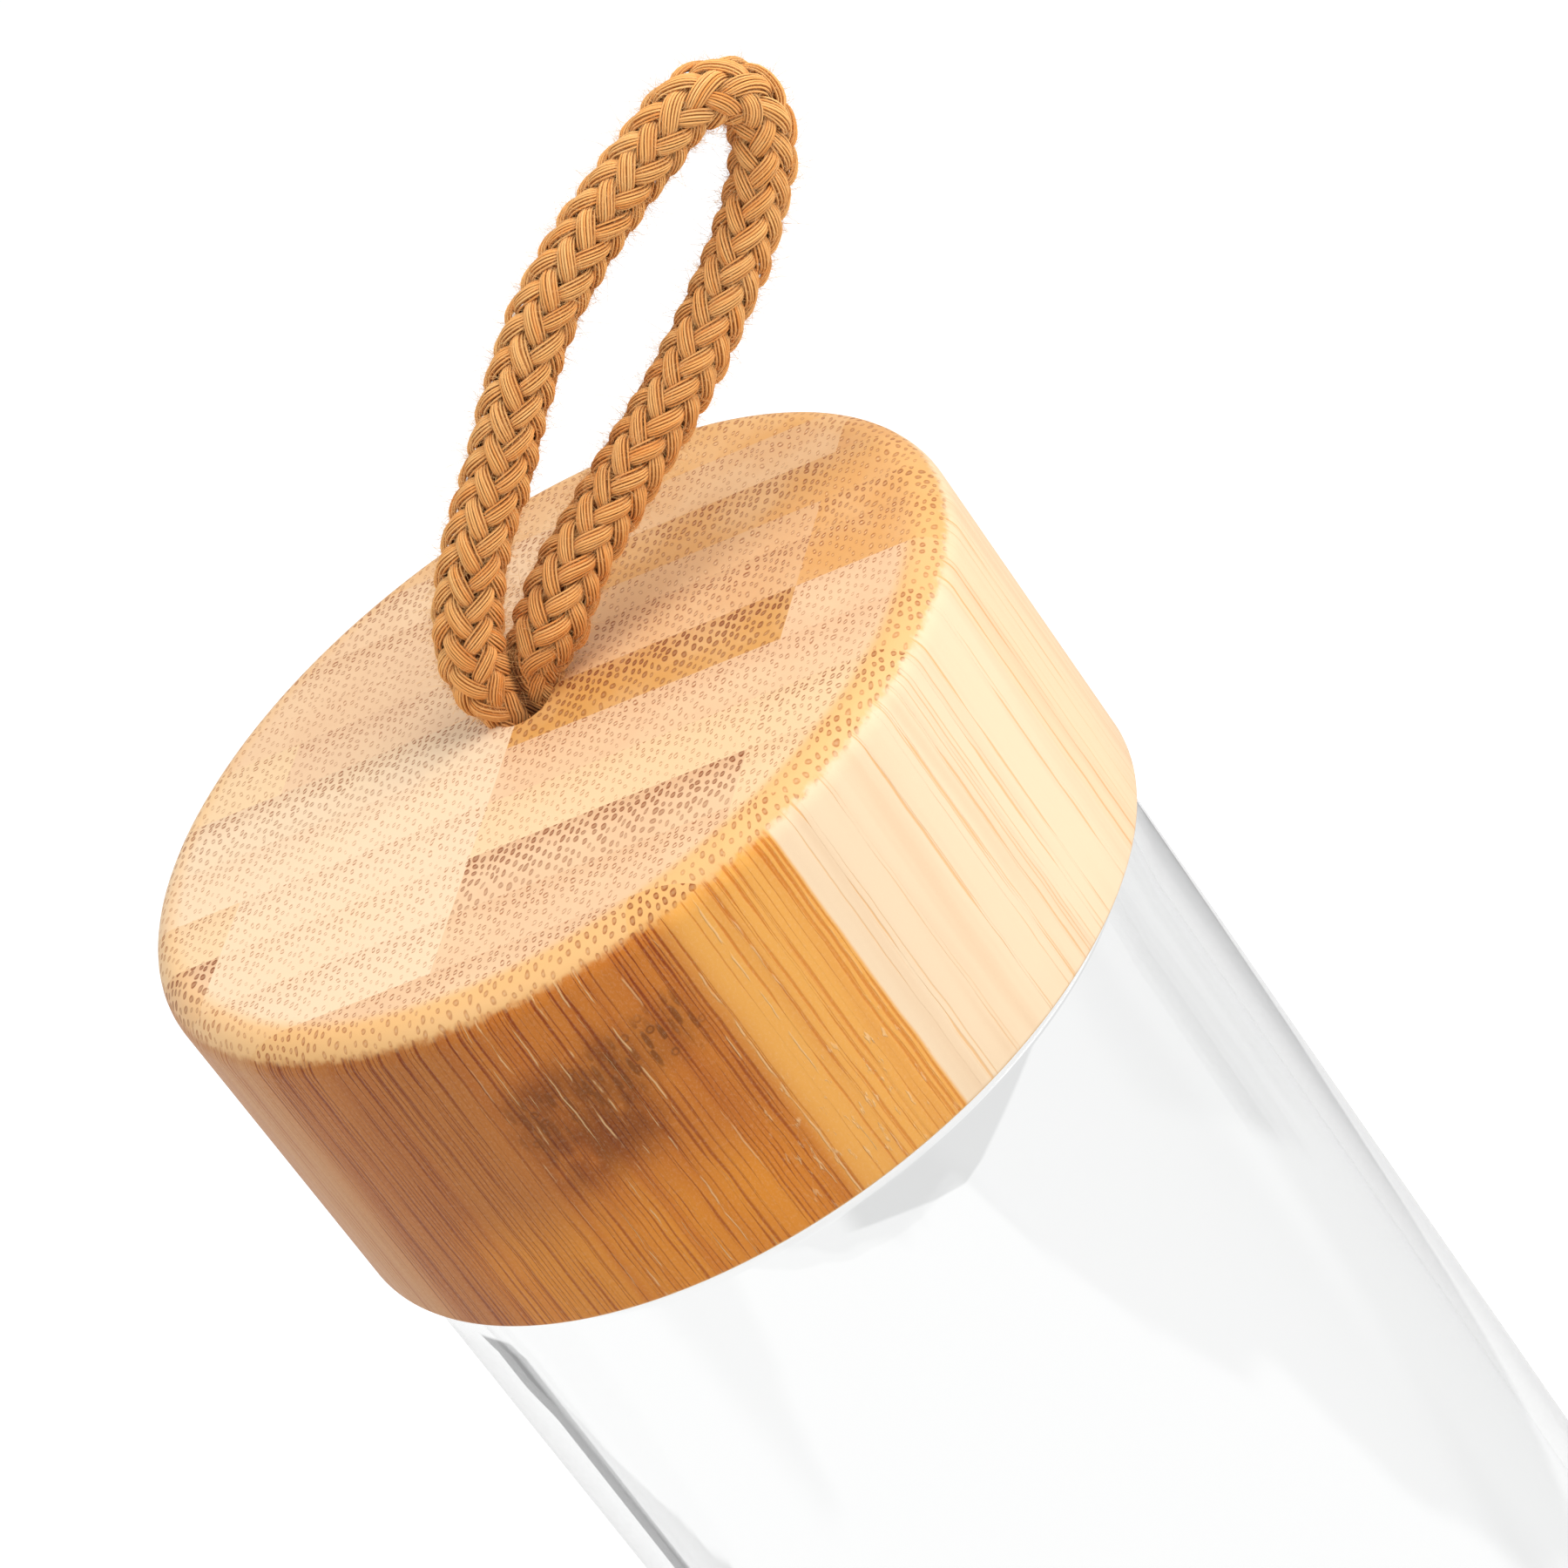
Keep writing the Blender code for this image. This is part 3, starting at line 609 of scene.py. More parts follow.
def lid_outline():
    """From the top's centre, over the outer edge, down the side and up inside the bore."""
    rim_z = LID_BASE_Z + LID_RIM_ROUNDING
    bore_end = LID_BASE_Z + LID_BORE_DEPTH
    pocket_roof = LID_BASE_Z + POCKET_ROOF_LEVEL
    outline = [(0, LID_TOP_Z)]
    outline += arc(
        LID_RADIUS - LID_TOP_ROUNDING, LID_TOP_Z - LID_TOP_ROUNDING, LID_TOP_ROUNDING, 90, 0
    )
    outline += line(outline[-1], (LID_RADIUS, rim_z), LONGEST_STEP)
    outline += arc(LID_RADIUS - LID_RIM_ROUNDING, rim_z, LID_RIM_ROUNDING, 0, -90, 5)
    outline += [(LID_BORE_RADIUS, LID_BASE_Z), (LID_BORE_RADIUS, bore_end)]
    outline += [(POCKET_RADIUS, bore_end), (POCKET_RADIUS, pocket_roof), (0, pocket_roof)]
    return outline


def hole_drill():
    """The cutter of the cord hole, which flares at the lid's top face."""
    mouth = CORD_HOLE_RADIUS + CORD_HOLE_ROUNDING
    high, low = LID_TOP_Z + CUT_OVERRUN, LID_BASE_Z + POCKET_ROOF_LEVEL - CUT_OVERRUN
    outline = [(0, high), (mouth, high)]
    outline += arc(mouth, LID_TOP_Z - CORD_HOLE_ROUNDING, CORD_HOLE_ROUNDING, 90, 180, 5)
    outline += [(CORD_HOLE_RADIUS, low), (0, low)]
    drill = turned_mesh("cord_hole_drill", outline, 72)
    drill.data.transform(Matrix.Translation((CORD_HOLE_X, CORD_HOLE_Y, 0)))
    return drill


def cut_away(piece, tool):
    boolean = piece.modifiers.new("hole", "BOOLEAN")
    boolean.operation = "DIFFERENCE"
    boolean.solver = "EXACT"
    boolean.object = tool
    graph = bpy.context.evaluated_depsgraph_get()
    mesh = bpy.data.meshes.new_from_object(piece.evaluated_get(graph))
    piece.modifiers.clear()
    piece.data = mesh
    bpy.data.objects.remove(tool, do_unlink=True)


def split(shape, faces, place, normal):
    """Cuts these faces along a plane."""
    edges = {edge for face in faces for edge in face.edges}
    corners = {corner for face in faces for corner in face.verts}
    geometry = [*faces, *edges, *corners]
    bmesh.ops.bisect_plane(shape, geom=geometry, dist=1e-7, plane_co=place, plane_no=normal)


def cut_into_blocks(piece):
    """Cuts the lid's faces along its glue lines and writes each face's block into attributes."""
    shape = bmesh.new()
    shape.from_mesh(piece.data)
    for upper, _, _, _ in STRIPS[1:]:
        split(shape, shape.faces, GRAIN_V * upper, GRAIN_V)
    for upper, lower, joints, _ in STRIPS:
        for joint in joints:
            middles = [(face, face.calc_center_median().dot(GRAIN_V)) for face in shape.faces]
            faces = [face for face, across in middles if lower < across < upper]
            split(shape, faces, GRAIN_U * joint, GRAIN_U - GRAIN_V * JOINT_LEAN)
    floats = shape.faces.layers.float
    low, seed, strength = (floats.new(name) for name in ("strip_low", "block_seed", "bundles"))
    tone = shape.faces.layers.float_color.new("tone")
    for face in shape.faces:
        middle = face.calc_center_median()
        across = middle.dot(GRAIN_V)
        for number, (upper, lower, joints, blocks) in enumerate(STRIPS):
            if lower < across <= upper:
                break
        along = middle.dot(GRAIN_U - GRAIN_V * JOINT_LEAN)
        block = sum(along > joint for joint in joints)
        name, bundles = blocks[block]
        face[low] = lower
        face[seed] = number * 7.31 + block * 3.77
        face[strength] = bundles
        face[tone] = (*TONES[name], 1)
    shape.to_mesh(piece.data)
    shape.free()
    piece.data.shade_smooth()


# Materials


def operator(kind, swapped=False):
    """A method of Value that adds a node of this kind."""

    def method(self, other):
        return self.graph.math(kind, *((other, self) if swapped else (self, other)))

    return method


class Value:
    """A number that a material works out at each place, for use in plain sums."""

    def __init__(self, graph, socket):
        self.graph = graph
        self.socket = socket

    def __abs__(self):
        return self.graph.math("ABSOLUTE", self)

    __add__ = __radd__ = operator("ADD")
    __sub__ = operator("SUBTRACT")
    __rsub__ = operator("SUBTRACT", swapped=True)
    __mul__ = __rmul__ = operator("MULTIPLY")
    __truediv__ = operator("DIVIDE")
    __pow__ = operator("POWER")


class Graph:
    """Builds a material or a world. Each call adds a node and gives back its output."""

    def __init__(self, name, world=False):
        self.owner = (bpy.data.worlds if world else bpy.data.materials).new(name)
        self.owner.use_nodes = True
        self.tree = self.owner.node_tree
        self.tree.nodes.clear()
        self.output = "OutputWorld" if world else "OutputMaterial"

    def feed(self, socket, value):
        if isinstance(value, Value):
            value = value.socket
        if isinstance(value, bpy.types.NodeSocket):
            self.tree.links.new(value, socket)
        elif socket.type == "RGBA":
            socket.default_value = (*value, 1)
        else:
            socket.default_value = value

    def node(self, kind, inputs=None, **settings):
        made = self.tree.nodes.new("ShaderNode" + kind)
        for key, value in settings.items():
            setattr(made, key, value)
        for key, value in (inputs or {}).items():
            self.feed(made.inputs[key], value)
        return made

    def math(self, operation, *values):
        made = self.node("Math", dict(enumerate(values)), operation=operation)
        return Value(self, made.outputs[0])

    def floor(self, value):
        return self.math("FLOOR", value)

    def fract(self, value):
        return self.math("FRACT", value)

    def larger(self, first, second):
        return self.math("MAXIMUM", first, second)

    def step(self, value, low, high, to_low=0.0, to_high=1.0):
        """A smooth rise from one value to another between two limits."""
        made = self.node(
            "MapRange",
            {"Value": value, "From Min": low, "From Max": high, "To Min": to_low, "To Max": to_high},
            interpolation_type="SMOOTHSTEP",
        )
        return Value(self, made.outputs["Result"])

    def window(self, value, low, high, soft):
        """1 between two limits and 0 outside, with soft edges."""
        rise = self.step(value, low - soft, low + soft)
        return rise * self.step(value, high + soft, high - soft)

    def blend(self, share, first, second, kind="MIX"):
        """One colour laid over another by a share from 0 to 1."""
        inputs = {0: share, 6: first, 7: second}
        return self.node("Mix", inputs, data_type="RGBA", blend_type=kind).outputs[2]

    def cover(self, colour, *layers):
        """A colour with others laid over it, each by its own share from 0 to 1."""
        for share, layer in layers:
            colour = self.blend(share, colour, layer)
        return colour

    def combine(self, x, y, z=0.0):
        return self.node("CombineXYZ", {"X": x, "Y": y, "Z": z}).outputs[0]

    def separate(self, vector):
        made = self.node("SeparateXYZ", {"Vector": vector})
        return [Value(self, made.outputs[axis]) for axis in "XYZ"]

    def noise(self, vector, detail=2.0, roughness=0.5):
        """Smooth noise round 0.5 that changes over about one unit of the vector."""
        made = self.node(
            "TexNoise",
            {"Vector": vector, "Scale": 1.0, "Detail": detail, "Roughness": roughness},
        )
        return Value(self, made.outputs[0])

    def chance(self, x, y, z=0.0):
        """Three random values from 0 to 1, the same wherever these three numbers are the same."""
        made = self.node("TexWhiteNoise", {"Vector": self.combine(x, y, z)})
        return self.separate(made.outputs["Color"])

    def attribute(self, name):
        return Value(self, self.node("Attribute", attribute_name=name).outputs["Fac"])

    def millimetres(self, shares=1):
        """The place on the piece in millimetres, times one share or a share for each axis."""
        place = self.node("TexCoord").outputs["Object"]
        scale = [1000 * share for share in np.broadcast_to(shares, 3).tolist()]
        return self.node("VectorMath", {0: place, 1: scale}, operation="MULTIPLY").outputs[0]

    def mottle(self, shares, detail=2.0, roughness=0.5):
        """Noise over the piece, finer for larger shares."""
        return self.noise(self.millimetres(shares), detail, roughness)

    def cells(self, u, v, width, height, jitter, seed):
        """Staggered cells: distances from the middle of each, moved at random, and its own luck."""
        column = u / width
        number = self.floor(column)
        row = v / height + self.math("FLOORED_MODULO", number, 2) * 0.5
        shift_u, shift_v, luck = self.chance(number, self.floor(row), seed)
        from_u = (self.fract(column) - 0.5 - (shift_u - 0.5) * jitter) * width
        from_v = (self.fract(row) - 0.5 - (shift_v - 0.5) * jitter) * height
        return from_u, from_v, luck

    def bump(self, height, depth):
        return self.node("Bump", {"Height": height, "Distance": depth}).outputs["Normal"]

    def shader(self, **inputs):
        inputs = {key.replace("_", " "): value for key, value in inputs.items()}
        return self.node("BsdfPrincipled", inputs).outputs[0]

    def mix(self, share, first, second):
        return self.node("MixShader", {0: share, 1: first, 2: second}).outputs[0]

    def finish(self, shader):
        self.node(self.output, {"Surface": shader})
        return self.owner

    def plain(self, **inputs):
        """Ends a material that is one plain surface."""
        return self.finish(self.shader(**inputs))


def end_grain(graph, upright):
    """The lid's top: staggered fibre bundles in glued strips. Gives a colour and the bundles."""
    x, y, z = graph.separate(graph.millimetres())
    drop = LID_TOP_Z * 1000 - z
    edge = (x**2 + y**2) ** 0.5
    unrolled = drop**2 * (0.57 / (1000 * LID_TOP_ROUNDING)) / edge + 1.0
    x, y = x * unrolled, y * unrolled
    warp_u = graph.mottle(0.30) - 0.5
    warp_v = graph.mottle((0.31, 0.33, 0.30)) - 0.5
    u = x * GRAIN_U.x + y * GRAIN_U.y + warp_u * 1.3
    v = x * GRAIN_V.x + y * GRAIN_V.y
    from_low = v - graph.attribute("strip_low") * 1000
    from_high = STRIP_WIDTH * 1000 - from_low
    strength = graph.attribute("bundles")
    band = graph.larger(graph.step(upright, 0.995, 0.90), graph.step(edge, 30.6, 32.2))

    growth = from_high * 0.085 + 1.0
    rows = graph.math("LOGARITHM", growth, math.e) * 13.2 + warp_v * 1.3
    from_u, from_v, luck = graph.cells(u, rows, 0.66, 1.0, 0.32, graph.attribute("block_seed"))
    girth = (luck * 0.30 + 0.84) * (strength * 0.30 + 0.76)
    wide = from_u / (girth * 0.20)
    long = from_v * growth * 0.95 / (girth * 0.335)
    reach = (wide**2 + long**2) ** 0.5
    inside = graph.step(reach, 1.15, 0.85)
    rim = graph.step(reach, 0.22, 0.62)
    caps = graph.step(abs(long + wide * 0.3), 0.10, 0.60, 0.20, 1.0)
    fill = graph.larger(graph.step(strength, 0.5, 1.0, 0.05, 0.75), band * 0.7)
    dense = graph.step(from_high, 6.0, 0.3, 0.60, 1.0)
    heavy = graph.step(luck, 0.0, 0.5, 0.75, 1.0)
    bundle = inside * graph.larger(rim * caps, fill) * (strength * 0.42 + 0.62) * dense * heavy

    # The strip tones carry painted light: paler to the front and left, darker to the back and right
    tone = graph.node("Attribute", attribute_name="tone").outputs["Color"]
    cloudy = graph.mottle((0.16, 0.16, 0.02), 3.0)
    tone = graph.cover(
        tone,
        (graph.step(cloudy, 0.35, 0.75, 0.0, 0.3), (0.91, 0.66, 0.40)),
        (graph.step(from_high, 3.2, 0.0) * strength * 0.30, (0.56, 0.27, 0.11)),
        (band * graph.step(y, 5.0, -20.0, 0.35, 0.80), (0.82, 0.46, 0.16)),
        (graph.step(reach, 0.50, 0.15) * 0.35, (0.96, 0.74, 0.48)),
    )
    dark = graph.blend(1.0, tone, (0.50, 0.20, 0.07), "MULTIPLY")
    dark = graph.blend(strength * 0.62, dark, (0.17, 0.045, 0.014))
    return graph.blend(bundle, tone, dark), bundle


def fibre_lines(graph, across, depth, spacing, half_width, seed, waver=0.10):
    """Thin lines down the side, one in each strip of this width, that thin out and come back."""
    column = across / spacing
    number = graph.floor(column)
    shift, _, luck = graph.chance(number, seed)
    wander = graph.noise(graph.combine(number * 3.7, depth * 0.45, seed)) - 0.5
    from_line = abs((graph.fract(column) - 0.5 - (shift - 0.5) * 0.7) * spacing + wander * waver)
    full = graph.step(graph.noise(graph.combine(number * 5.3, depth * 0.10, seed + 9), 1.0), 0.38, 0.60)
    return graph.step(from_line / ((full + 0.04) * half_width), 1.0, 0.25), luck


def block_looks_with_painted_light(graph, angle):
    """The side's colour with its painted shade and light, and how much its streaks show, by the angle
    round the lid.
    """
    _, tone, streaky, _ = SIDE_BLOCKS_WITH_PAINTED_LIGHT[0]
    for start, colour, strength, soft in SIDE_BLOCKS_WITH_PAINTED_LIGHT[1:]:
        begun = graph.step(angle, start - soft, start + soft)
        tone = graph.blend(begun, tone, colour)
        streaky = begun * (strength - streaky) + streaky
    return tone, streaky


def side_grain(graph):
    """The lid's side: fibres run down it. Gives a colour, the dark lines and the pale ones."""
    x, y, z = graph.separate(graph.millimetres())
    depth = LID_TOP_Z * 1000 - z
    angle = graph.math("ARCTAN2", x, y * -1) * (180 / math.pi)
    mm_per_degree = LID_RADIUS * 1000 * math.pi / 180
    across = angle * mm_per_degree
    across = across + (graph.noise(graph.combine(0.0, depth * 0.10)) - 0.5) * 0.5
    # The block colours carry painted shade on the left and front and painted light on the right
    tone, streaky = block_looks_with_painted_light(graph, across / mm_per_degree)

    # The node: a band of short dark dashes and pores with a smear below its left half
    lean = depth + across * 0.16
    in_node = graph.window(across, -18.5, -2.5, 1.6) * graph.window(lean, 5.9, 10.2, 1.4)
    smear = graph.window(across, -18.0, -8.5, 2.0) * graph.window(lean, 5.0, 14.5, 2.2)
    patchy = graph.step(graph.noise(graph.combine(across * 0.35, depth * 0.22)), 0.28, 0.52)
    low = graph.step(depth, 16.0, 23.0) * graph.window(angle, -50.0, -3.0, 5.0)
    tone = graph.cover(
        tone,
        (low * 0.45, (0.95, 0.36, 0.03)),
        (smear * patchy * 0.85, (0.235, 0.055, 0.004)),
        (in_node * 0.50, (0.38, 0.12, 0.014)),
    )
    dash_u, dash_v, dash_luck = graph.cells(across, lean, 0.68, 2.1, 0.6, 3.0)
    dash = graph.step((dash_u / 0.22) ** 2 + (dash_v / 0.95) ** 2, 1.4, 0.4)
    dash = dash * graph.step(dash_luck, 0.20, 0.45) * in_node
    pore_u, pore_v, pore_luck = graph.cells(across, lean, 2.1, 1.9, 0.8, 8.0)
    pore_reach = (pore_u**2 + pore_v**2) ** 0.5
    pore = graph.window(pore_reach, 0.16, 0.34, 0.09) * graph.step(pore_luck, 0.5, 0.6) * in_node

    # Dark fibres, with heads where they start under the rounded edge
    strong, strong_luck = fibre_lines(graph, across, depth, 0.86, 0.17, 3.1)
    fine, fine_luck = fibre_lines(graph, across, depth, 0.37, 0.085, 17.7)
    heads = graph.step(depth, 9.0, 2.5) * streaky
    strong = strong * graph.step(strong_luck, 1.0 - streaky, 1.1 - streaky)
    fine = fine * graph.step(fine_luck, 0.95 - streaky, 1.15 - streaky, 0.0, 0.75)
    edge_line = graph.window(angle, 12.6, 14.9, 0.5)
    bunch = fibre_lines(graph, across, depth, 0.42, 0.16, 5.5)[0] * edge_line
    lines = graph.larger(graph.larger(strong, fine), bunch)
    lines = lines * (streaky * 0.40 + heads * 0.30 + 0.45)
    dark = graph.larger(lines, graph.larger(dash, pore))

    # Pale torn fibres on the front and worn flecks by the lower edge
    front = graph.window(angle, -31.0, 15.0, 4.0)
    torn, torn_luck = fibre_lines(graph, across, depth, 1.5, 0.11, 41.3, 0.35)
    broken = graph.noise(graph.combine(across * 1.2, depth * 0.35, 6.0))
    torn = torn * graph.step(torn_luck, 0.28, 0.38) * graph.step(broken, 0.45, 0.55) * front
    fleck_place = graph.combine(across * 1.9, depth * 0.55)
    flecks = graph.step(graph.noise(fleck_place, 3.0, 0.6), 0.60, 0.68)
    flecks = flecks * graph.window(angle, -6.0, 14.0, 3.0) * graph.window(depth, 17.0, 28.0, 2.0)
    pale = graph.larger(torn, flecks)

    broad = graph.step(graph.noise(graph.combine(across * 0.5, depth * 0.02)), 0.42, 0.70)
    grit = graph.step(graph.noise(graph.combine(across * 5, depth * 3.0, 2.0), 3.0, 0.7), 0.45, 0.75)
    colour = graph.blend(broad * streaky * 0.45, tone, (0.66, 0.36, 0.14), "MULTIPLY")
    stain = graph.blend(graph.step(streaky, 0.42, 0.82), (0.88, 0.56, 0.22), (0.50, 0.28, 0.08))
    deep = graph.blend(1.0, colour, stain, "MULTIPLY")
    colour = graph.cover(
        colour,
        (lines, deep),
        (graph.larger(dash, pore) * 0.85, (0.22, 0.058, 0.004)),
        (pale * 0.65, (0.90, 0.57, 0.27)),
        (grit * 0.10, (0.98, 0.78, 0.52)),
    )
    return colour, dark, pale


def bamboo_material():
    graph = Graph("bamboo")
    upright = graph.separate(graph.node("NewGeometry").outputs["Normal"])[2]
    top_colour, bundle = end_grain(graph, abs(upright))
    side_colour, dark, pale = side_grain(graph)
    ragged = graph.mottle(1.6) - 0.5
    turned = graph.step(abs(upright) + ragged * 0.34, 0.66, 0.36)
    colour = graph.blend(turned, top_colour, side_colour)
    grit = graph.mottle(14)
    top_height = bundle * -0.6
    side_height = pale * 0.8 - dark * 0.5
    height = top_height * (1.0 - turned) + side_height * turned + grit * 0.15
    return graph.plain(
        Base_Color=colour,
        Roughness=bundle * 0.2 + graph.step(grit, 0.3, 0.7, 0.38, 0.5),
        Specular_IOR_Level=0.25,
        Normal=graph.bump(height, 0.00006),
    )


def glass_material():
    """Clear glass. Light on its way to another surface, or caught in the wall, goes straight on."""
    graph = Graph("clear_glass")
    waves = graph.mottle((0.05, 0.05, 0.010))
    specks = graph.mottle(3)
    glass = graph.shader(
        Base_Color=(0.990, 0.993, 0.992),
        Roughness=graph.step(specks, 0.72, 0.80, 0.0, 0.012),
        Transmission_Weight=1.0,
        IOR=1.52,
        Normal=graph.bump(waves, 0.00001),
    )
    clear = graph.node("BsdfTransparent", {"Color": (0.93, 0.94, 0.94)})
    path = graph.node("LightPath")
    straight = graph.larger(path.outputs["Is Shadow Ray"], path.outputs["Is Diffuse Ray"])
    caught = graph.math("GREATER_THAN", path.outputs["Ray Depth"], LONGEST_GLASS_PATH)
    return graph.finish(graph.mix(graph.larger(straight, caught), glass, clear.outputs[0]))


def cord_material():
    graph = Graph("cotton_cord")
    tone = graph.attribute("tone")
    turn, along = graph.attribute("turn"), graph.attribute("along")
    hairs = graph.noise(graph.combine(turn * 3.0, along * 450, tone * 50), 3.0, 0.65)
    fibres = graph.mottle(7, 3.0, 0.65)
    patches = graph.mottle(0.5)
    # Painted shade on each tube's sides, where the yarns meet their neighbours
    flank_shade = abs(graph.math("COSINE", turn * (2 * math.pi)))

    # Painted shade near the hole, and a painted shadow in the fold where the two strands touch,
    # before they part
    x, _, z = graph.separate(graph.millimetres())
    height = z - LID_TOP_Z * 1000
    fold_shadow = graph.step(abs(x - height**2 * 0.075), 0.70, 0.15) * graph.step(height, 6.0, 3.0)
    colour = graph.cover(
        graph.blend(tone, (0.93, 0.39, 0.095), (1.0, 0.58, 0.21)),
        (graph.step(hairs, 0.45, 0.72, 0.0, 0.40), (0.98, 0.64, 0.29)),
        (graph.step(hairs, 0.45, 0.25, 0.0, 0.50), (0.54, 0.20, 0.05)),
        (graph.step(patches, 0.45, 0.72, 0.0, 0.25), (0.97, 0.57, 0.22)),
        (graph.step(flank_shade, 0.62, 0.98, 0.0, 0.66), (0.36, 0.12, 0.026)),
        # Painted shade in the crevices, on the strands' bodies and the core between the yarns
        (graph.attribute("crevice_shade"), (0.20, 0.06, 0.014)),
        (graph.step(height, 6.0, 0.0) * 0.30, (0.42, 0.15, 0.04)),
        (fold_shadow * 0.85, (0.12, 0.035, 0.010)),
    )
    return graph.plain(
        Base_Color=colour,
        Roughness=graph.step(fibres, 0.3, 0.7, 0.75, 0.95),
        Specular_IOR_Level=0.25,
        Sheen_Weight=0.08,
        Sheen_Roughness=0.4,
        Sheen_Tint=(1.0, 0.80, 0.60),
        Normal=graph.bump(hairs + fibres * 0.6, 0.00004),
    )


def grained(name, mottle, colours, grain, roughness, depth, **more):
    """Two colours mottled together, with a fine grain in the roughness and the bump."""
    graph = Graph(name)
    fine = graph.mottle(grain)
    return graph.plain(
        Base_Color=graph.blend(graph.mottle(*mottle), *colours),
        Roughness=graph.step(fine, 0.3, 0.7, *roughness),
        Normal=graph.bump(fine, depth),
        **more,
    )


def fuzz_material():
    colours = (0.86, 0.46, 0.15), (0.95, 0.62, 0.30)
    return grained("cord_fuzz", (2,), colours, 20, (0.6, 0.8), 0.000005)


def plastic_material():
    colours = (0.78, 0.78, 0.76), (0.85, 0.85, 0.83)
    inner_light = {"Subsurface_Weight": 0.1, "Subsurface_Radius": (0.003, 0.003, 0.003)}
    return grained("white_plastic", (0.5, 3.0), colours, 12, (0.32, 0.5), 0.00002, **inner_light)


def silicone_material():
    graph = Graph("silicone")
    dust = graph.mottle(6, 3.0, 0.7)
    grain = graph.mottle(20)
    return graph.plain(
        Base_Color=graph.blend(dust, (0.72, 0.73, 0.72), (0.80, 0.80, 0.78)),
        Roughness=graph.step(dust, 0.3, 0.7, 0.45, 0.65),
        Subsurface_Weight=0.2,
        Subsurface_Radius=(0.002, 0.002, 0.002),
        Normal=graph.bump(grain, 0.00001),
    )


# Stage


def sheet_white(graph, x, y):
    """How white the floor glows in a mirror, a painted reflection: white on the sheet and darker past
    its edges.
    """
    uneven = (graph.mottle(0.02) - 0.5) * 0.02
    past = uneven - 1.0
    for edge_x, edge_y, degrees in SHEET_EDGES:
        out_x, out_y = math.cos(math.radians(degrees)), math.sin(math.radians(degrees))
        past = graph.larger(past, (x - edge_x) * out_x + (y - edge_y) * out_y + uneven)
    surround = graph.step(x, 0.08, 0.13, SHEET_DARK_SHARE, SHEET_GREY_SHARE)
    reach = (x**2 + y**2) ** 0.5
    surround = graph.larger(surround, graph.step(reach, *SHEET_FAR_REACH) * SHEET_FAR_SHARE)
    on_sheet = graph.step(past, SHEET_EDGE_BLUR, -SHEET_EDGE_BLUR)
    return on_sheet * (1.0 - surround) + surround


def behind_white(graph, x, y, inside, length):
    """How white the floor glows through the glass: painted dark shapes, a strip to the left, dimmer to
    the right.

    Inside is 1 for light that came through the bottle and 0 for light that stayed in its wall.
    Length is how far the light came from the glass. It keeps the dark shapes to light that left the
    glass as steeply and as far out to the side as in the photograph.
    """
    way = graph.math("ARCTAN2", x, y) * (180 / math.pi)
    reach = (x**2 + y**2) ** 0.5
    wall = graph.step(reach, 0.288, 0.300, BEHIND_DARK_WALL_ANGLE, BEHIND_DARK_WALL_CORNER_ANGLE)
    end = inside * (BEHIND_DARK_ANGLE - wall) + wall
    far = BEHIND_DARK_FAR_ANGLE
    strip = graph.step(way - end, 0.3, -0.3) * graph.step(way, far - 0.5, far + 0.5)
    slant = length / (reach - BODY_RADIUS)
    aside = graph.step(slant, 1.17, 1.20) * graph.window(reach, *BEHIND_REACH, 0.005)
    left = 1.0 - strip * aside * (1.0 - BEHIND_DARK_SHARE)
    # A painted dark patch seen through the glass, with a wavy edge
    patch_wobble = (graph.mottle(0.06) - 0.5) * 0.02
    dark_patch = graph.step(y + x * 0.53 + patch_wobble, 0.171, 0.165) * graph.window(x, -0.30, -0.086, 0.002)
    dark_patch = dark_patch * aside * inside
    right = graph.window(way, 15.5, 34.0, 1.5) * BEHIND_GREY_DIP
    corner = graph.step(x - y * 0.92, -0.2312, -0.2332) * graph.step(y + x * 0.6, 0.2572, 0.2588)
    corner = corner * graph.step(x, -0.018, -0.013) * graph.step(slant, 1.09, 1.11)
    corner = corner * inside * BEHIND_CORNER_DIP
    return left * (1.0 - dark_patch * BEHIND_PATCH_DIP) * (1.0 - right) * (1.0 - corner)


def floor_material():
    """A pale floor that looks white to the camera and shows the photograph's studio in the glass."""
    graph = Graph("pale_floor")
    path = graph.node("LightPath")
    x, y, _ = graph.separate(graph.millimetres(0.001))
    diffuse = graph.node("BsdfDiffuse", {"Color": (0.90, 0.90, 0.90)}).outputs[0]

    def glow(strength):
        return graph.node("Emission", {"Strength": strength}).outputs[0]

    lit = graph.node("AddShader", {0: diffuse, 1: glow(FLOOR_GLOW)})
    sheet = sheet_white(graph, x, y)
    inside = graph.step(Value(graph, path.outputs["Transmission Depth"]), 2.5, 3.5)
    length = Value(graph, path.outputs["Ray Length"])
    behind = behind_white(graph, x, y, inside, length)
    mirrored = graph.step(Value(graph, path.outputs["Glossy Depth"]), 0.2, 0.8)
    before = 1.0 - mirrored * (1.0 - sheet)
    through = graph.step(y, -0.03, 0.03) * (behind - before) + before
    look = graph.mix(path.outputs["Is Camera Ray"], diffuse, lit.outputs[0])
    # Mirrored rays see a painted reflection: the floor glows with a white sheet and darker surroundings
    look = graph.mix(path.outputs["Is Glossy Ray"], look, glow(sheet))
    # Rays through the glass see painted dark shapes glowing on the floor
    look = graph.mix(path.outputs["Is Transmission Ray"], look, glow(through))
    return graph.finish(look)


def make_floor():
    half = FLOOR_HALF_WIDTH
    corners = [(-half, -half, 0), (half, -half, 0), (half, half, 0), (-half, half, 0)]
    floor = mesh_object("floor", corners, [(0, 1, 2, 3)], smooth=False)
    floor.location.z = -FLOOR_GAP
    floor.data.materials.append(floor_material())


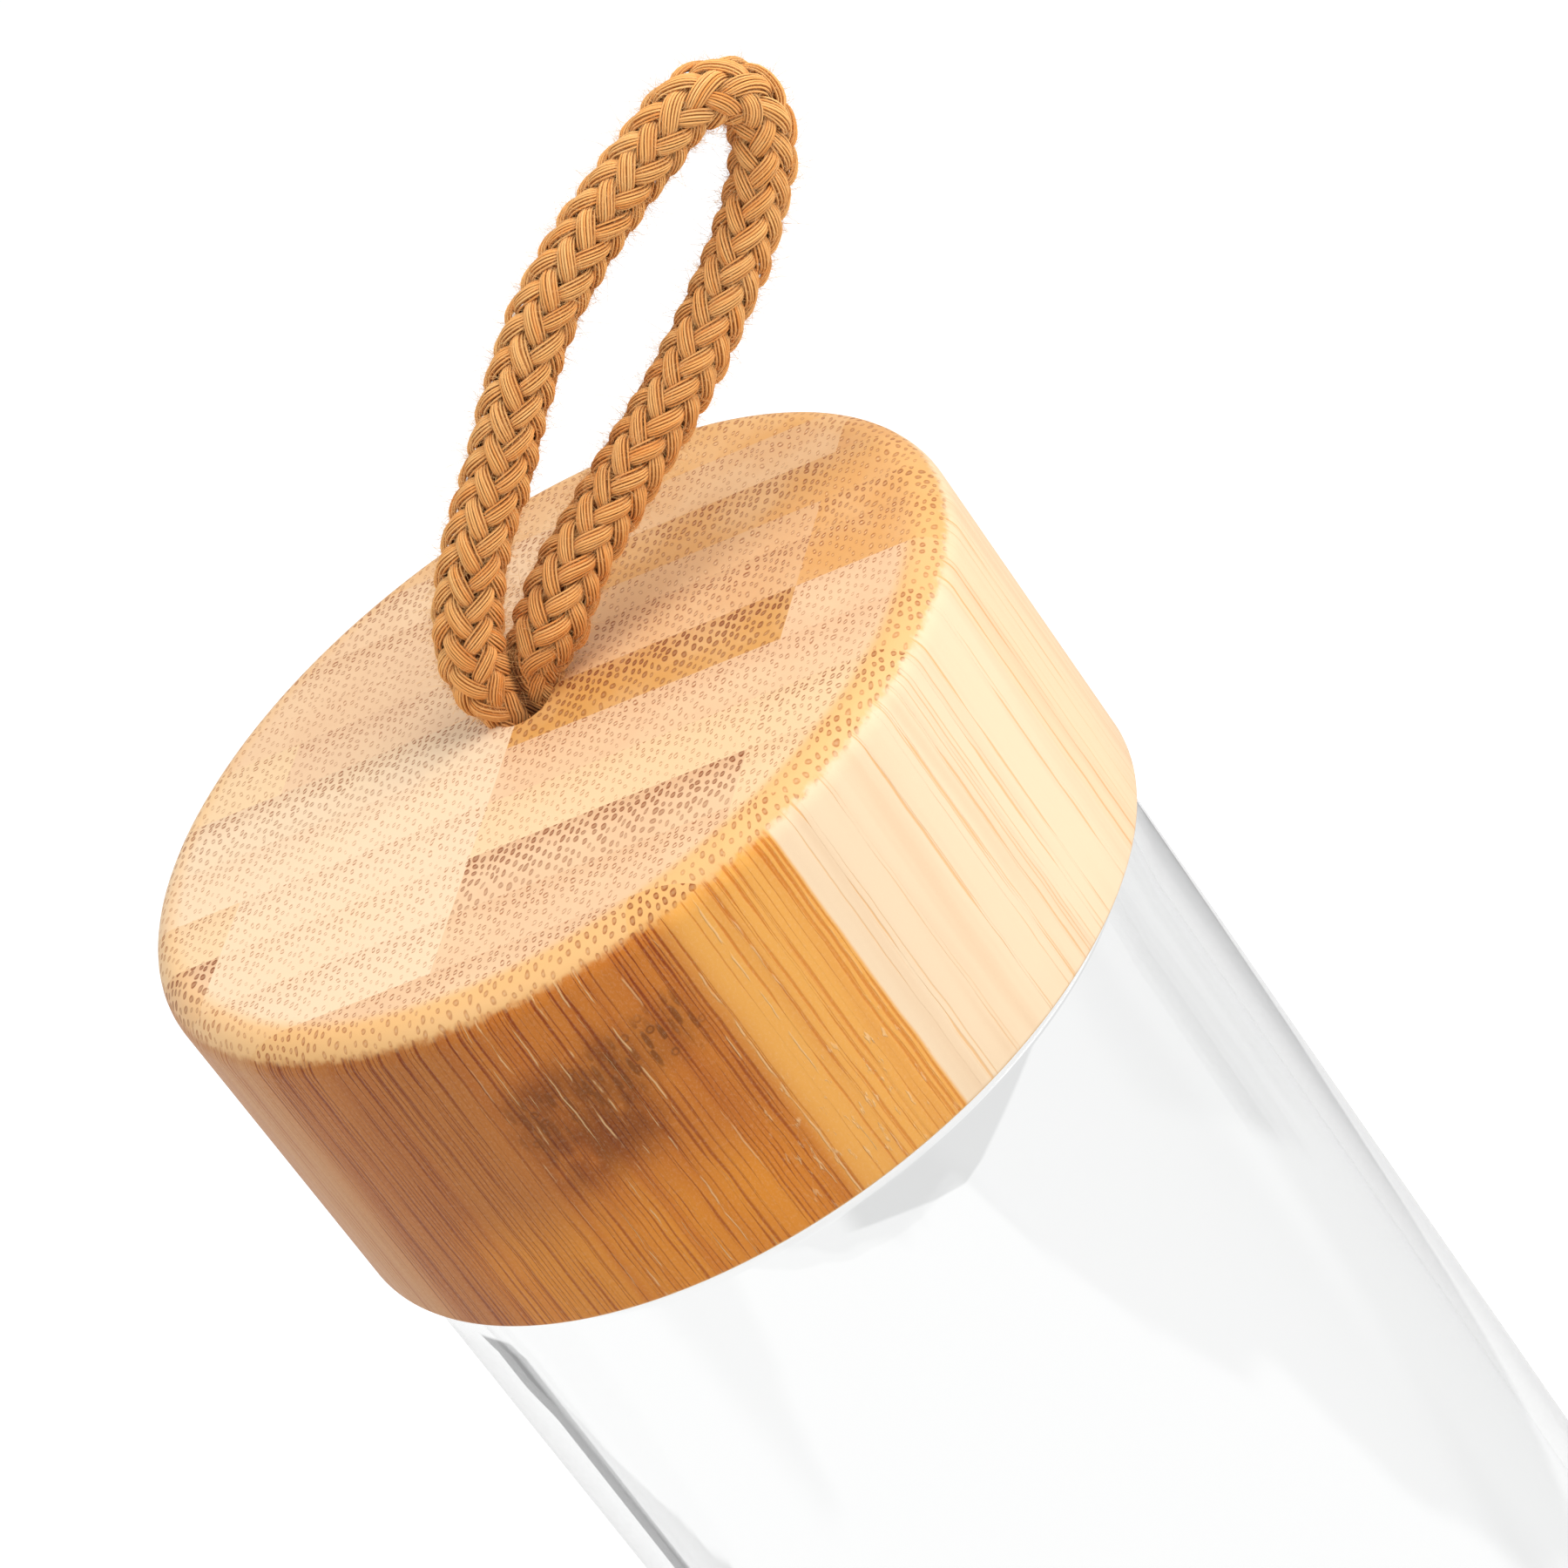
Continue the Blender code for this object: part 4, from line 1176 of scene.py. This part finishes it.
def make_world():
    """Soft fill light that looks white to the camera, in mirrors and through the glass."""
    graph = Graph("studio", world=True)
    path = graph.node("LightPath")
    shown = graph.larger(path.outputs["Is Camera Ray"], path.outputs["Is Transmission Ray"])
    shown = graph.larger(shown, path.outputs["Is Glossy Ray"])
    fill = graph.node("Background", {"Color": (0.97, 0.98, 1.0), "Strength": 0.55})
    white = graph.node("Background", {"Strength": 1.0})
    bpy.context.scene.world = graph.finish(graph.mix(shown, fill.outputs[0], white.outputs[0]))


def make_light(name, azimuth, elevation, distance, size, power, colour):
    """An area light that looks at the lid. Azimuth 0 is the front and 90 the right."""
    lamp = bpy.data.lights.new(name, "AREA")
    lamp.size = size
    lamp.energy = power
    lamp.color = colour
    made = bpy.data.objects.new(name, lamp)
    turn, tilt = math.radians(azimuth), math.radians(elevation)
    way = Vector((math.sin(turn) * math.cos(tilt), -math.cos(turn) * math.cos(tilt), math.sin(tilt)))
    made.location = Vector((0, 0, LID_TOP_Z)) + way * distance
    made.rotation_mode = "QUATERNION"
    made.rotation_quaternion = way.to_track_quat("Z", "Y")
    bpy.context.scene.collection.objects.link(made)


def give(piece, material, body):
    piece.data.materials.clear()
    piece.data.materials.append(material)
    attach(piece, body)


# The scene

make_camera()

cord_finish = cord_material()
cord_line, cord_along = loop_route()
cord_full = loop_fullness(cord_along)
route_side = np.array([0, 1.0, 0])
loop = braid_along("braided_loop", cord_line, cord_along, cord_full, route_side, 11)
give(loop, cord_finish, "lid")
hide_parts("carry_cord_loop")
fuzz = make_fuzz(cord_line, cord_full, 5)
give(fuzz, fuzz_material(), "lid")

knot_line, knot_along = knot_route()
knot_full = np.full((len(knot_along), 2), KNOT_FULLNESS)
knot = braid_along("knotted_ends", knot_line, knot_along, knot_full, np.array([0.1, 0.3, 1.0]), 12)
give(knot, cord_finish, "lid")
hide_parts("cord_knot")

bottle = turned_mesh("clear_bottle", glass_outline(), 256, thread_bump)
give(bottle, glass_material(), "bottle")
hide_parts("glass_bottle")

lid = turned_mesh("laminated_lid", lid_outline(), 360)
cut_away(lid, hole_drill())
cut_into_blocks(lid)
give(lid, bamboo_material(), "lid")
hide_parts("bamboo_lid")

for node, material in (("threaded_insert", plastic_material()), ("seal_ring", silicone_material())):
    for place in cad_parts[node].material_slots:
        place.material = material

make_floor()
make_world()
make_light("key", 65, 40, 0.9, 0.7, 7.5, (1.0, 0.98, 0.95))
make_light("fill", -70, 55, 0.9, 0.45, 2.3, (0.97, 0.98, 1.0))
bpy.context.scene.view_settings.view_transform = "Standard"
